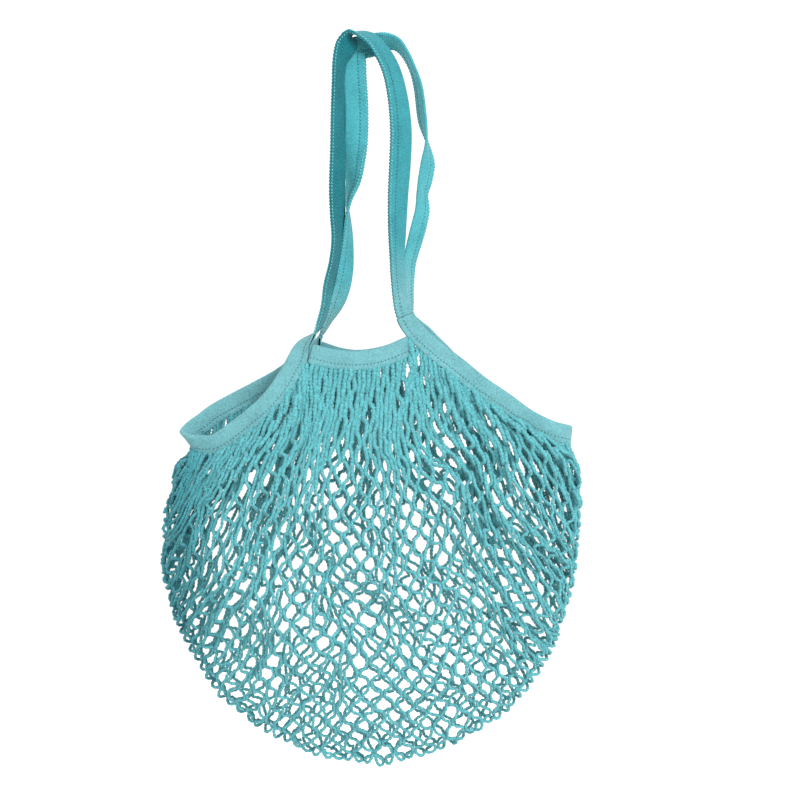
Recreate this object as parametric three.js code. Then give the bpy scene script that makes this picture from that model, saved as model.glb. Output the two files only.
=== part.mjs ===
// A long-handled cotton net shopping bag, hung by its two handles and slightly puffed out.
// Units are millimetres, +Z is up, -Y is the front and +X the right-hand side seen from the front.
// The origin is the underside of the handles' tops, where a hook or a shoulder carries the bag.
import * as THREE from "three";

// Sizes of the whole bag
const bagWidth = 380; // over the widest part of the net
const bagDepth = 120; // front to back at the fullest part
const netDrop = 385; // top edge of the centre binding down to the bottom of the net
const handleDrop = 282; // hang point down to the top edge of the centre binding
const shoulderDrop = 88; // top edge of the centre binding down to the side corners of the mouth
const mouthSpan = 84; // between the roots of the handles
const mouthGap = 30; // front centre binding to back centre binding

// Sizes of the cotton tape
const bindingWidth = 18; // tape folded over the edge of the net
const handleWidth = 22; // doubled tape of the handles
const handleThickness = 2.6;
const plyThickness = 1;
const clearance = 0.3;
const slotEase = 0.8; // room on either side of the net inside the fold

// Sizes of the net
const netThickness = 1.5;
const strandWidth = 5;
const meshColumns = 16; // round the bag
const meshRows = 8; // half meshes from the mouth to the bottom
const tuckDepth = 4; // how far the net's loops reach into the fold of the binding
const tabWidth = 3;
const tabLead = 5; // straight part of each loop below the binding

const halfWidth = bagWidth / 2;
const halfGap = mouthGap / 2;
const slotWidth = netThickness + 2 * slotEase;
const bindingThickness = slotWidth + 2 * plyThickness;
const mouthTop = -handleDrop;

const teal = { binding: 0x74bfc6, handle: 0x4fadb5, net: 0x57b4bd };
const cotton = (colour) =>
  new THREE.MeshStandardMaterial({ color: colour, roughness: 0.9, metalness: 0 });

// One tape runs round the bag: up and over as the front handle, round the right side of the mouth, over
// as the back handle and round the left side. openX, openY and openZ point from its fold to its open edge.
// In the handles across is a share of mouthSpan, down of handleDrop and depth of half the mouthGap.
const frontHandleSections = [
  { across: -0.57, down: 0.974, depth: -0.87, openX: 0.05, openY: -0.99, openZ: -0.1 },
  { across: -0.51, down: 0.938, depth: -0.8, openX: -0.15, openY: -0.98, openZ: 0 },
  { across: -0.45, down: 0.879, depth: -0.7, openX: -0.2, openY: -0.97, openZ: 0 },
  { across: -0.41, down: 0.807, depth: -0.63, openX: -0.28, openY: -0.95, openZ: 0 },
  { across: -0.35, down: 0.735, depth: -0.6, openX: -0.28, openY: -0.95, openZ: 0 },
  { across: -0.32, down: 0.664, depth: -0.6, openX: -0.3, openY: -0.95, openZ: 0 },
  { across: -0.32, down: 0.582, depth: -0.6, openX: -0.48, openY: -0.88, openZ: 0 },
  { across: -0.33, down: 0.5, depth: -0.6, openX: -0.58, openY: -0.81, openZ: 0 },
  { across: -0.32, down: 0.37, depth: -0.6, openX: -0.54, openY: -0.84, openZ: 0 },
  { across: -0.31, down: 0.246, depth: -0.6, openX: -0.52, openY: -0.85, openZ: 0 },
  { across: -0.31, down: 0.155, depth: -0.67, openX: -0.45, openY: -0.88, openZ: 0 },
  { across: -0.3, down: 0.086, depth: -0.77, openX: -0.42, openY: -0.89, openZ: 0.1 },
  { across: -0.26, down: 0.031, depth: -0.83, openX: -0.5, openY: -0.82, openZ: 0.25 },
  { across: -0.18, down: -0.005, depth: -0.83, openX: -0.15, openY: -0.97, openZ: 0.05 },
  { across: -0.05, down: -0.002, depth: -0.8, openX: -0.15, openY: -0.93, openZ: -0.3 },
  { across: 0.07, down: 0.016, depth: -0.73, openX: -0.3, openY: -0.78, openZ: -0.5 },
  { across: 0.17, down: 0.052, depth: -0.67, openX: -0.55, openY: -0.7, openZ: -0.35 },
  { across: 0.27, down: 0.109, depth: -0.63, openX: -0.7, openY: -0.65, openZ: -0.3 },
  { across: 0.34, down: 0.191, depth: -0.6, openX: -0.82, openY: -0.55, openZ: -0.1 },
  { across: 0.38, down: 0.305, depth: -0.6, openX: -0.9, openY: -0.43, openZ: 0 },
  { across: 0.37, down: 0.419, depth: -0.6, openX: -0.9, openY: -0.43, openZ: 0 },
  { across: 0.35, down: 0.517, depth: -0.6, openX: -0.84, openY: -0.54, openZ: 0 },
  { across: 0.34, down: 0.624, depth: -0.63, openX: -0.74, openY: -0.67, openZ: 0 },
  { across: 0.34, down: 0.722, depth: -0.67, openX: -0.6, openY: -0.8, openZ: 0 },
  { across: 0.35, down: 0.794, depth: -0.73, openX: -0.58, openY: -0.81, openZ: 0 },
  { across: 0.37, down: 0.856, depth: -0.8, openX: -0.62, openY: -0.77, openZ: -0.1 },
  { across: 0.43, down: 0.912, depth: -0.87, openX: -0.85, openY: -0.4, openZ: -0.35 },
];
const backHandleSections = [
  { across: 0.53, down: 0.92, depth: 0.87, openX: -0.15, openY: 0.96, openZ: -0.2 },
  { across: 0.48, down: 0.863, depth: 0.8, openX: 0.33, openY: 0.94, openZ: -0.05 },
  { across: 0.47, down: 0.794, depth: 0.73, openX: 0.42, openY: 0.9, openZ: 0 },
  { across: 0.48, down: 0.735, depth: 0.7, openX: 0.5, openY: 0.86, openZ: 0 },
  { across: 0.53, down: 0.673, depth: 0.67, openX: 0.6, openY: 0.8, openZ: 0 },
  { across: 0.58, down: 0.618, depth: 0.67, openX: 0.63, openY: 0.77, openZ: 0 },
  { across: 0.62, down: 0.562, depth: 0.67, openX: 0.58, openY: 0.81, openZ: 0 },
  { across: 0.62, down: 0.51, depth: 0.67, openX: 0.45, openY: 0.89, openZ: 0 },
  { across: 0.65, down: 0.465, depth: 0.67, openX: 0.58, openY: 0.81, openZ: 0 },
  { across: 0.68, down: 0.409, depth: 0.67, openX: 0.56, openY: 0.83, openZ: 0 },
  { across: 0.67, down: 0.347, depth: 0.67, openX: 0.1, openY: 1, openZ: 0 },
  { across: 0.62, down: 0.272, depth: 0.67, openX: -0.3, openY: 0.95, openZ: 0 },
  { across: 0.57, down: 0.161, depth: 0.67, openX: -0.3, openY: 0.95, openZ: 0 },
  { across: 0.51, down: 0.102, depth: 0.67, openX: -0.22, openY: 0.97, openZ: 0 },
  { across: 0.42, down: 0.05, depth: 0.6, openX: -0.25, openY: 0.95, openZ: -0.1 },
  { across: 0.33, down: 0.023, depth: 0.5, openX: -0.2, openY: 0.88, openZ: -0.42 },
  { across: 0.22, down: 0.016, depth: 0.4, openX: -0.1, openY: 0.7, openZ: -0.7 },
  { across: 0.11, down: 0.024, depth: 0.27, openX: 0.12, openY: 0.3, openZ: -0.94 },
  { across: 0.01, down: 0.044, depth: 0.03, openX: 0.4, openY: 0, openZ: -0.9 },
  { across: -0.07, down: 0.08, depth: -0.2, openX: 0.8, openY: -0.05, openZ: -0.55 },
  { across: -0.1, down: 0.129, depth: -0.27, openX: 0.96, openY: -0.1, openZ: -0.15 },
  { across: -0.1, down: 0.226, depth: -0.27, openX: 1, openY: -0.1, openZ: 0 },
  { across: -0.1, down: 0.321, depth: -0.27, openX: 1, openY: -0.15, openZ: 0 },
  { across: -0.12, down: 0.409, depth: -0.2, openX: 0.85, openY: -0.5, openZ: 0 },
  { across: -0.13, down: 0.471, depth: -0.07, openX: 0.62, openY: -0.77, openZ: 0 },
  { across: -0.18, down: 0.533, depth: 0.13, openX: 0.25, openY: -0.96, openZ: 0 },
  { across: -0.2, down: 0.585, depth: 0.27, openX: -0.1, openY: -1, openZ: 0 },
  { across: -0.2, down: 0.644, depth: 0.33, openX: -0.33, openY: -0.94, openZ: 0 },
  { across: -0.21, down: 0.7, depth: 0.33, openX: -0.5, openY: -0.86, openZ: 0 },
  { across: -0.21, down: 0.758, depth: 0.33, openX: -0.64, openY: -0.76, openZ: 0 },
  { across: -0.24, down: 0.82, depth: 0.33, openX: -0.68, openY: -0.73, openZ: 0 },
  { across: -0.3, down: 0.876, depth: 0.33, openX: -0.6, openY: -0.8, openZ: 0 },
  { across: -0.4, down: 0.925, depth: 0.33, openX: -0.35, openY: -0.93, openZ: 0 },
  { across: -0.5, down: 0.98, depth: 0.37, openX: 0, openY: -0.99, openZ: -0.05 },
];

// In the bindings across is a share of halfWidth, down of shoulderDrop below the mouth's top, depth as above.
const rightBindingSections = [
  { across: 0.215, down: -0.3, depth: -0.9, openX: -0.8, openY: -0.25, openZ: -0.55 },
  { across: 0.264, down: -0.18, depth: -0.97, openX: -0.7, openY: -0.1, openZ: -0.7 },
  { across: 0.341, down: -0.03, depth: -1.07, openX: -0.65, openY: -0.05, openZ: -0.76 },
  { across: 0.438, down: 0.13, depth: -1.2, openX: -0.6, openY: 0, openZ: -0.8 },
  { across: 0.552, down: 0.33, depth: -1.27, openX: -0.6, openY: 0, openZ: -0.8 },
  { across: 0.668, down: 0.5, depth: -1.2, openX: -0.55, openY: 0, openZ: -0.84 },
  { across: 0.784, down: 0.68, depth: -0.97, openX: -0.4, openY: 0, openZ: -0.92 },
  { across: 0.901, down: 0.8, depth: -0.81, openX: -0.25, openY: 0, openZ: -0.96 },
  { across: 0.956, down: 0.83, depth: -0.6, openX: -0.15, openY: 0, openZ: -0.98 },
  { across: 0.985, down: 0.85, depth: 0, openX: -0.1, openY: 0, openZ: -1 },
  { across: 0.956, down: 0.88, depth: 0.6, openX: -0.1, openY: -0.05, openZ: -1 },
  { across: 0.901, down: 0.9, depth: 0.81, openX: -0.1, openY: -0.1, openZ: -1 },
  { across: 0.813, down: 0.91, depth: 1, openX: -0.15, openY: -0.15, openZ: -1 },
  { across: 0.717, down: 0.79, depth: 1.27, openX: -0.5, openY: -0.1, openZ: -0.86 },
  { across: 0.61, down: 0.55, depth: 1.37, openX: -0.64, openY: 0, openZ: -0.77 },
  { across: 0.494, down: 0.28, depth: 1.33, openX: -0.66, openY: 0, openZ: -0.75 },
  { across: 0.383, down: 0.02, depth: 1.27, openX: -0.66, openY: 0.05, openZ: -0.75 },
  { across: 0.291, down: -0.19, depth: 1.03, openX: -0.6, openY: 0.4, openZ: -0.6 },
];
const leftBindingSections = [
  { across: -0.252, down: -0.04, depth: 0.73, openX: 0.45, openY: -0.75, openZ: -0.45 },
  { across: -0.32, down: 0.08, depth: 1.07, openX: 0.6, openY: -0.35, openZ: -0.7 },
  { across: -0.416, down: 0.24, depth: 1.3, openX: 0.56, openY: -0.1, openZ: -0.82 },
  { across: -0.523, down: 0.37, depth: 1.4, openX: 0.5, openY: 0, openZ: -0.86 },
  { across: -0.629, down: 0.49, depth: 1.33, openX: 0.5, openY: 0, openZ: -0.86 },
  { across: -0.736, down: 0.62, depth: 1.03, openX: 0.4, openY: 0, openZ: -0.9 },
  { across: -0.794, down: 0.71, depth: 0.81, openX: 0.3, openY: 0, openZ: -0.96 },
  { across: -0.847, down: 0.78, depth: 0.6, openX: 0.2, openY: 0, openZ: -0.98 },
  { across: -0.874, down: 0.83, depth: 0, openX: 0.12, openY: 0, openZ: -1 },
  { across: -0.847, down: 0.88, depth: -0.6, openX: 0.12, openY: 0, openZ: -1 },
  { across: -0.794, down: 0.91, depth: -0.81, openX: 0.2, openY: 0, openZ: -0.98 },
  { across: -0.726, down: 0.93, depth: -1, openX: 0.3, openY: 0.1, openZ: -0.92 },
  { across: -0.593, down: 0.74, depth: -1.3, openX: 0.6, openY: 0, openZ: -0.78 },
  { across: -0.47, down: 0.51, depth: -1.37, openX: 0.68, openY: 0, openZ: -0.72 },
  { across: -0.392, down: 0.29, depth: -1.23, openX: 0.7, openY: -0.25, openZ: -0.65 },
  { across: -0.334, down: 0.07, depth: -1.07, openX: 0.5, openY: -0.67, openZ: -0.52 },
  { across: -0.303, down: -0.08, depth: -0.93, openX: 0.12, openY: -0.97, openZ: -0.2 },
];

// Centre bindings: along is a share of mouthSpan from its middle, sag a share of bindingWidth, depth as above.
const frontCentreSections = [
  { along: -0.5, sag: 0.22, depth: -1.2 },
  { along: -0.25, sag: 0.5, depth: -1.2 },
  { along: 0.02, sag: 0.58, depth: -1.2 },
  { along: 0.27, sag: 0.4, depth: -1.12 },
  { along: 0.53, sag: -0.14, depth: -1.0 },
];
const backCentreSections = [
  { along: -0.42, sag: 0.05, depth: 1.15 },
  { along: -0.2, sag: 0.38, depth: 1.2 },
  { along: 0.0, sag: 0.5, depth: 1.2 },
  { along: 0.25, sag: 0.36, depth: 1.15 },
  { along: 0.5, sag: 0.0, depth: 1.1 },
];
const centreShift = -0.1; // the mouth's middle lies left of the hang point, as a share of mouthSpan

// Outline of the net below the mouth's corners, seen from the front: across is a share of halfWidth, and down
// a share of the height between the corner and the bottom.
const leftOutline = [
  { across: -0.905, down: 0.0 },
  { across: -0.96, down: 0.16 },
  { across: -0.97, down: 0.34 },
  { across: -0.945, down: 0.52 },
  { across: -0.81, down: 0.72 },
];
const rightOutline = [
  { across: 0.985, down: 0.0 },
  { across: 1.0, down: 0.16 },
  { across: 1.0, down: 0.34 },
  { across: 0.99, down: 0.5 },
  { across: 0.87, down: 0.72 },
];
const bottomOutline = [
  { across: -0.81, down: 0.72 },
  { across: -0.58, down: 0.88 },
  { across: -0.3, down: 0.97 },
  { across: 0.02, down: 1.0 },
  { across: 0.34, down: 0.97 },
  { across: 0.63, down: 0.87 },
  { across: 0.87, down: 0.72 },
];

const fullestAt = 0.55; // share of the way from the mouth to the bottom where the bag is fullest
const centreShare = 0.38; // share of a face's meshes that hang from half of its centre binding
const bottomLift = 1.6; // how quickly the net reaches the outline's level near the bottom
const sideGather = 0.5; // how much closer the meshes lie at the sides than in the middle

const vector = (x, y, z) => new THREE.Vector3(x, y, z);
const bindingMiddle = mouthTop - bindingWidth / 2;
const handlePlace = (s) =>
  vector(mouthSpan * s.across, halfGap * s.depth, handleThickness / 2 - handleDrop * s.down);
const bindingPlace = (s) =>
  vector(halfWidth * s.across, halfGap * s.depth, bindingMiddle - shoulderDrop * s.down);
const centrePlace = (s) =>
  vector(
    mouthSpan * (centreShift + s.along),
    halfGap * s.depth,
    bindingMiddle + bindingWidth * (0.25 - s.sag),
  );
const openWay = (s) => vector(s.openX ?? 0, s.openY ?? 0, s.openZ ?? -1).normalize();

// A tape's path gives its middle, its direction and, beside it, the direction of its open edge.
function tapePath(places, ways, closed) {
  const middle = new THREE.CatmullRomCurve3(places, closed, "centripetal");
  const open = new THREE.CatmullRomCurve3(ways, closed, "catmullrom", 0.5);
  return (share) => {
    const at = middle.getPoint(share);
    const along = middle.getTangent(share);
    const across = open.getPoint(share);
    across.addScaledVector(along, -across.dot(along)).normalize();
    return { at, along, across, face: along.clone().cross(across) };
  };
}

const loopSections = [
  ...frontHandleSections.map((s) => ({ place: handlePlace(s), way: openWay(s) })),
  ...rightBindingSections.map((s) => ({ place: bindingPlace(s), way: openWay(s) })),
  ...backHandleSections.map((s) => ({ place: handlePlace(s), way: openWay(s) })),
  ...leftBindingSections.map((s) => ({ place: bindingPlace(s), way: openWay(s) })),
];
const tapeLoop = tapePath(loopSections.map((s) => s.place), loopSections.map((s) => s.way), true);
const rootFrontRight = frontHandleSections.length - 1;
const rootBackRight = rootFrontRight + rightBindingSections.length + 1;
const rootBackLeft = rootBackRight + backHandleSections.length - 1;
const loopCount = loopSections.length;
// The corners of the mouth, where a side binding turns from one face of the bag to the other.
const atCorner = (s) => s.depth === 0;
const rightCorner = (rootFrontRight + 1 + rightBindingSections.findIndex(atCorner)) / loopCount;
const leftCorner = (rootBackLeft + 1 + leftBindingSections.findIndex(atCorner)) / loopCount;

const frontCentre = tapePath(frontCentreSections.map(centrePlace), frontCentreSections.map(openWay), false);
const backCentre = tapePath(backCentreSections.map(centrePlace), backCentreSections.map(openWay), false);

// The stretch of the loop between two sections, stopping short of each by the clearance.
function stretch(from, to) {
  const nudge = (share, way) => {
    const step = 0.0005;
    const speed = tapeLoop(share + way * step).at.distanceTo(tapeLoop(share).at) / step;
    return share + (way * clearance) / speed;
  };
  return [nudge(from / loopCount, 1), nudge(to / loopCount, -1)];
}

// A tape folded over the net's edge: two plies joined at the fold, open towards the net.
function foldedProfile() {
  const edge = bindingWidth / 2;
  const outer = bindingThickness / 2;
  const slot = slotWidth / 2;
  const soft = plyThickness * 0.8;
  return [
    [-edge, -outer + soft],
    [-edge + soft, -outer],
    [edge, -outer],
    [edge, -slot],
    [-edge + plyThickness, -slot],
    [-edge + plyThickness, slot],
    [edge, slot],
    [edge, outer],
    [-edge + soft, outer],
    [-edge, outer - soft],
  ];
}

// The doubled and stitched tape of a handle, solid through both plies, narrower at its roots.
function handleProfile(share) {
  const rootShare = Math.min(share, 1 - share) / 0.15;
  const fill = Math.min(rootShare, 1);
  const edge = (bindingWidth + (handleWidth - bindingWidth) * fill) / 2;
  const outer = handleThickness / 2;
  const soft = handleThickness / 4;
  return [
    [-edge, -outer + soft],
    [-edge + soft, -outer],
    [edge - soft, -outer],
    [edge, -outer + soft],
    [edge, outer - soft],
    [edge - soft, outer],
    [-edge + soft, outer],
    [-edge, outer - soft],
  ];
}

// Sweeps a profile along a tape's path. Profile points are [towards the open edge, towards the face].
function sweep(path, profileAt, [from, to], steps) {
  const points = [];
  for (let i = 0; i <= steps; i++) {
    const { at, across, face } = path(from + ((to - from) * i) / steps);
    for (const [a, b] of profileAt(i / steps))
      points.push(at.clone().addScaledVector(across, a).addScaledVector(face, b));
  }
  const profile = profileAt(0);
  const n = profile.length;
  const triangles = [];
  for (let i = 0; i < steps; i++)
    for (let k = 0; k < n; k++) {
      const a = i * n + k;
      const b = i * n + ((k + 1) % n);
      triangles.push([a, b, b + n], [a, b + n, a + n]);
    }
  const outline = profile.map(([a, b]) => new THREE.Vector2(a, b));
  const last = steps * n;
  for (const [a, b, c] of THREE.ShapeUtils.triangulateShape(outline, [])) {
    triangles.push([a, c, b]);
    triangles.push([a + last, b + last, c + last]);
  }
  return solidFrom(points, triangles);
}

// A closed mesh from points and triangles, turned right side out.
function solidFrom(points, triangles) {
  const volume = triangles.reduce(
    (sum, [a, b, c]) => sum + points[a].dot(points[b].clone().cross(points[c])),
    0,
  );
  const corners = triangles.flatMap(([a, b, c]) => (volume < 0 ? [a, c, b] : [a, b, c]));
  const geometry = new THREE.BufferGeometry().setFromPoints(corners.map((i) => points[i]));
  geometry.computeVertexNormals();
  return geometry;
}

// The mouth's edge: side is -1 for the front and 1 for the back, across runs from -1 to 1 over that side, and
// shift is a distance along the tape.
function mouthAt(side, across, shift = 0) {
  const along = (path, share) => {
    const step = 0.001;
    const speed = path(share + step).at.distanceTo(path(share - step).at) / (2 * step);
    return path(share + shift / speed);
  };
  const reach = Math.abs(across);
  if (reach <= centreShare)
    return along(side < 0 ? frontCentre : backCentre, 0.5 + 0.4 * (across / centreShare));
  const away = (1 - reach) / (1 - centreShare);
  const corner = across < 0 ? leftCorner : rightCorner;
  const reachOut = 7.3 / loopCount;
  return along(tapeLoop, corner + (across < 0 ? -1 : 1) * side * reachOut * away);
}

const outlinePlace = (p) => {
  const top = mouthTop - shoulderDrop - bindingWidth;
  const bottom = mouthTop - netDrop;
  return vector(halfWidth * p.across, 0, top + (bottom - top) * p.down);
};
const outlines = {
  left: new THREE.CatmullRomCurve3(leftOutline.map(outlinePlace)),
  right: new THREE.CatmullRomCurve3(rightOutline.map(outlinePlace)),
  bottom: new THREE.CatmullRomCurve3(bottomOutline.map(outlinePlace)),
};

const hangBelow = bindingWidth / 2 + tabLead;
const belowBinding = (edge) => edge.at.clone().addScaledVector(edge.across, hangBelow);

// A point of the net's middle surface. down runs from 0 just below the binding to 1 at the bottom.
function netPoint(side, across, down) {
  const top = belowBinding(mouthAt(side, across));
  const cornerLeft = belowBinding(mouthAt(side, -1));
  const cornerRight = belowBinding(mouthAt(side, 1));
  const level = 1 - (1 - down) ** bottomLift;
  const share = 0.5 + (across + sideGather * (Math.sin((Math.PI / 2) * across) - across)) / 2;
  const bottom = outlines.bottom.getPoint(share);
  const sidePoint = (outline, start) => {
    const first = 0.1;
    if (level >= first) return outline.getPoint((level - first) / (1 - first));
    return start.clone().lerp(outline.getPoint(0), level / first);
  };
  const left = sidePoint(outlines.left, cornerLeft);
  const right = sidePoint(outlines.right, cornerRight);
  const bottomLeft = outlines.bottom.getPoint(0);
  const bottomRight = outlines.bottom.getPoint(1);
  const blend = (axis) =>
    (1 - level) * top[axis] + level * bottom[axis] +
    (1 - share) * left[axis] + share * right[axis] -
    (1 - level) * ((1 - share) * cornerLeft[axis] + share * cornerRight[axis]) -
    level * ((1 - share) * bottomLeft[axis] + share * bottomRight[axis]);
  const round = Math.sqrt(1 - Math.abs(across) ** 2.4);
  const rise = Math.min(down / fullestAt, 1);
  const fall = Math.max((down - fullestAt) / (1 - fullestAt), 0);
  const swell = rise * (2 - rise) * Math.sqrt(1 - fall * fall);
  const y = (1 - swell) * (1 - down) * top.y + (side * swell * round * bagDepth) / 2;
  return vector(blend("x"), y, blend("z"));
}

// Columns run round the bag from the left side over the front to the right side and the back, rows run down.
// The bottom row lies a little way up the back, so that strands cross the bottom of the bag.
function netPlace(column, row) {
  const c = ((column % meshColumns) + meshColumns) % meshColumns;
  const half = meshColumns / 2;
  const onBack = c > half || row >= meshRows;
  const reach = c <= half ? (2 * c) / half - 1 : 3 - (2 * c) / half;
  const side = onBack ? 1 : -1;
  const rows = meshRows + side * 0.5 * (1 - reach * reach);
  return { side, across: reach, down: Math.min(row / rows, 1) };
}

function netMesh() {
  const points = [];
  const normals = [];
  const faces = [];
  const known = new Map();
  const bagMiddle = vector(0, 0, mouthTop - netDrop * 0.5);
  const addPoint = (at, normal) => {
    points.push(at);
    normals.push(normal);
    return points.length - 1;
  };
  const pointAt = (column, row) => {
    const p = netPlace(column, row);
    return netPoint(p.side, p.across, p.down);
  };
  // The surface's direction at a lattice place, from the places on either side of it.
  const normalAt = (column, row) => {
    const p = netPlace(column, row);
    const step = 0.04;
    const down = Math.min(Math.max(p.down, step), 1 - step);
    const across = Math.min(Math.max(p.across, step - 1), 1 - step);
    const wide = netPoint(p.side, across + step, down).sub(netPoint(p.side, across - step, down));
    const tall = netPoint(p.side, across, down + step).sub(netPoint(p.side, across, down - step));
    const normal = tall.cross(wide).normalize();
    if (Math.abs(p.across) > 0.99) normal.set(p.across, 0, 0);
    const outward = pointAt(column, row).sub(bagMiddle);
    return normal.dot(outward) < 0 ? normal.negate() : normal;
  };
  const surfacePoint = (column, row) => {
    const c = ((column % meshColumns) + meshColumns) % meshColumns;
    const key = c.toFixed(2) + "/" + row.toFixed(2);
    if (!known.has(key)) known.set(key, addPoint(pointAt(c, row), normalAt(c, row)));
    return known.get(key);
  };
  // One opening of the net: its corners are lattice places, and its rim is half a strand wide.
  const opening = (places, closed) => {
    const rim = places.map(([c, r]) => surfacePoint(c, r));
    const count = rim.length;
    const ring = rim.map((i) => points[i]);
    const middle = ring.reduce((sum, p) => sum.add(p), vector(0, 0, 0)).divideScalar(count);
    const inner = ring.map((p, i) => {
      const before = ring[(i - 1 + count) % count];
      const after = ring[(i + 1) % count];
      const normal = normals[rim[i]];
      const inward = (from, to) => {
        const side = to.clone().sub(from).normalize().cross(normal).normalize();
        return side.dot(middle.clone().sub(from)) < 0 ? side.negate() : side;
      };
      const first = !closed && i === 0 ? inward(p, after) : inward(before, p);
      const second = !closed && i === count - 1 ? inward(before, p) : inward(p, after);
      const both = first.clone().add(second).normalize();
      const open = Math.max(both.dot(first), 0.35);
      const room = 0.45 * p.distanceTo(middle);
      return addPoint(
        p.clone().addScaledVector(both, Math.min(strandWidth / 2 / open, room)),
        normal.clone(),
      );
    });
    const last = closed ? count : count - 1;
    for (let i = 0; i < last; i++) {
      const j = (i + 1) % count;
      faces.push([rim[i], rim[j], inner[j]], [rim[i], inner[j], inner[i]]);
    }
    return inner;
  };

  for (let row = 0; row + 2 <= meshRows; row++)
    for (let c = 0; c < meshColumns; c++) {
      const column = c + (row % 2) / 2;
      // Columns of the back meet the bottom row at the mirrored column of the front.
      const foot = column > meshColumns / 2 && row + 2 === meshRows ? meshColumns - column : column;
      opening(
        [
          [column, row],
          [column - 0.5, row + 1],
          [foot, row + 2],
          [column + 0.5, row + 1],
        ],
        true,
      );
    }
  // The openings that cross the bottom, from the front's last row to the back's.
  for (let c = 0; c < meshColumns / 2; c++)
    opening(
      [
        [c + 0.5, meshRows - 1],
        [c, meshRows],
        [meshColumns - c - 0.5, meshRows - 1],
        [c + 1, meshRows],
      ],
      true,
    );
  // The half openings under the binding, and the tabs that go up into its fold.
  const ends = [];
  for (let c = 0; c < meshColumns; c++) {
    const inner = opening(
      [
        [c, 0],
        [c + 0.5, 1],
        [c + 1, 0],
      ],
      false,
    );
    ends.push({ start: inner[0], finish: inner[inner.length - 1] });
  }
  for (let c = 0; c < meshColumns; c++) {
    const right = ends[c].start;
    const left = ends[(c - 1 + meshColumns) % meshColumns].finish;
    const peak = surfacePoint(c, 0);
    const p = netPlace(c, 0);
    const edge = mouthAt(p.side, p.across);
    const face = edge.face.clone();
    if (face.dot(normals[peak]) < 0) face.negate();
    const turn = edge.along.dot(points[right].clone().sub(points[left])) < 0 ? -1 : 1;
    const facing = face.dot(edge.face);
    const inSlot = (offset, up) => {
      const place = mouthAt(p.side, p.across, turn * offset);
      return addPoint(
        place.at.addScaledVector(place.across, bindingWidth / 2 - up),
        place.face.multiplyScalar(facing),
      );
    };
    const half = tabWidth / 2;
    const shoulder = tabLead / 2;
    const mouthRow = [inSlot(-half, -shoulder), inSlot(0, -shoulder), inSlot(half, -shoulder)];
    const endRow = [inSlot(-half, tuckDepth), inSlot(0, tuckDepth), inSlot(half, tuckDepth)];
    normals[peak] = face.clone();
    normals[left] = face.clone();
    normals[right] = face.clone();
    const ladder = [[left, peak, right], mouthRow, endRow];
    for (let k = 0; k < 2; k++)
      for (let m = 0; m < 2; m++) {
        const [a, b] = [ladder[k][m], ladder[k][m + 1]];
        const [d, e] = [ladder[k + 1][m], ladder[k + 1][m + 1]];
        faces.push([a, b, d], [b, e, d]);
      }
  }

  // Two copies of the surface, joined by walls along every free edge.
  const shell = [];
  const half = netThickness / 2;
  points.forEach((p, i) => shell.push(p.clone().addScaledVector(normals[i], half)));
  points.forEach((p, i) => shell.push(p.clone().addScaledVector(normals[i], -half)));
  const count = points.length;
  const triangles = [];
  const edges = new Map();
  for (const [a, b, c] of faces) {
    triangles.push([a, b, c], [a + count, c + count, b + count]);
    for (const [from, to] of [[a, b], [b, c], [c, a]]) {
      if (edges.has(to + "," + from)) edges.delete(to + "," + from);
      else edges.set(from + "," + to, [from, to]);
    }
  }
  for (const [from, to] of edges.values())
    triangles.push([from, to + count, to], [from, from + count, to + count]);
  return solidFrom(shell, triangles);
}

const bag = new THREE.Group();
function addPart(name, geometry, colour) {
  const mesh = new THREE.Mesh(geometry, cotton(colour));
  mesh.name = name;
  bag.add(mesh);
}

addPart("front_handle", sweep(tapeLoop, handleProfile, stretch(0, rootFrontRight), 70), teal.handle);
addPart(
  "right_side_binding",
  sweep(tapeLoop, foldedProfile, stretch(rootFrontRight, rootBackRight), 80),
  teal.binding,
);
addPart("back_handle", sweep(tapeLoop, handleProfile, stretch(rootBackRight, rootBackLeft), 80), teal.handle);
addPart(
  "left_side_binding",
  sweep(tapeLoop, foldedProfile, stretch(rootBackLeft, loopCount), 80),
  teal.binding,
);
addPart("front_centre_binding", sweep(frontCentre, foldedProfile, [0, 1], 14), teal.binding);
addPart("back_centre_binding", sweep(backCentre, foldedProfile, [0, 1], 14), teal.binding);
addPart("net_body", netMesh(), teal.net);

export default bag;
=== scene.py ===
import math
import bpy
import numpy as np
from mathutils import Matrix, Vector


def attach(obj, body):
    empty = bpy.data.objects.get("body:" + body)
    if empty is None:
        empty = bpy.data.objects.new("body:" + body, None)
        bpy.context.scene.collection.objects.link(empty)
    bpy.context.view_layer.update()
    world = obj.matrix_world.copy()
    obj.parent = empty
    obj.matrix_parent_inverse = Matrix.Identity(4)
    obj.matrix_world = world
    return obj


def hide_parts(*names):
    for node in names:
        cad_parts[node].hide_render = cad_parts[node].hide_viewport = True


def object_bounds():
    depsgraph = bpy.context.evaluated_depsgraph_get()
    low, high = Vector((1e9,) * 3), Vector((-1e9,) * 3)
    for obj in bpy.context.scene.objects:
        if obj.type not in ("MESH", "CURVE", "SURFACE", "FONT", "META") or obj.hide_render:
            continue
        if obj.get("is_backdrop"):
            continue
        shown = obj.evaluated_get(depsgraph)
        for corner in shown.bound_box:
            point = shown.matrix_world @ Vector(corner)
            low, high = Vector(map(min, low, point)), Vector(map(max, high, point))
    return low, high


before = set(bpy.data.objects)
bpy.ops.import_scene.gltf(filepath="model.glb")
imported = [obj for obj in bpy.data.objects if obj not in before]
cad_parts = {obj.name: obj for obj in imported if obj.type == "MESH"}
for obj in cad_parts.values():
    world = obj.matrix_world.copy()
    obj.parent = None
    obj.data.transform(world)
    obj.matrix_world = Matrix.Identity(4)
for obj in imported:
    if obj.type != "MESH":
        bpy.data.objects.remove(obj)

cadLow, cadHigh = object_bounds()
mm = 0.001
scene = bpy.context.scene

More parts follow.
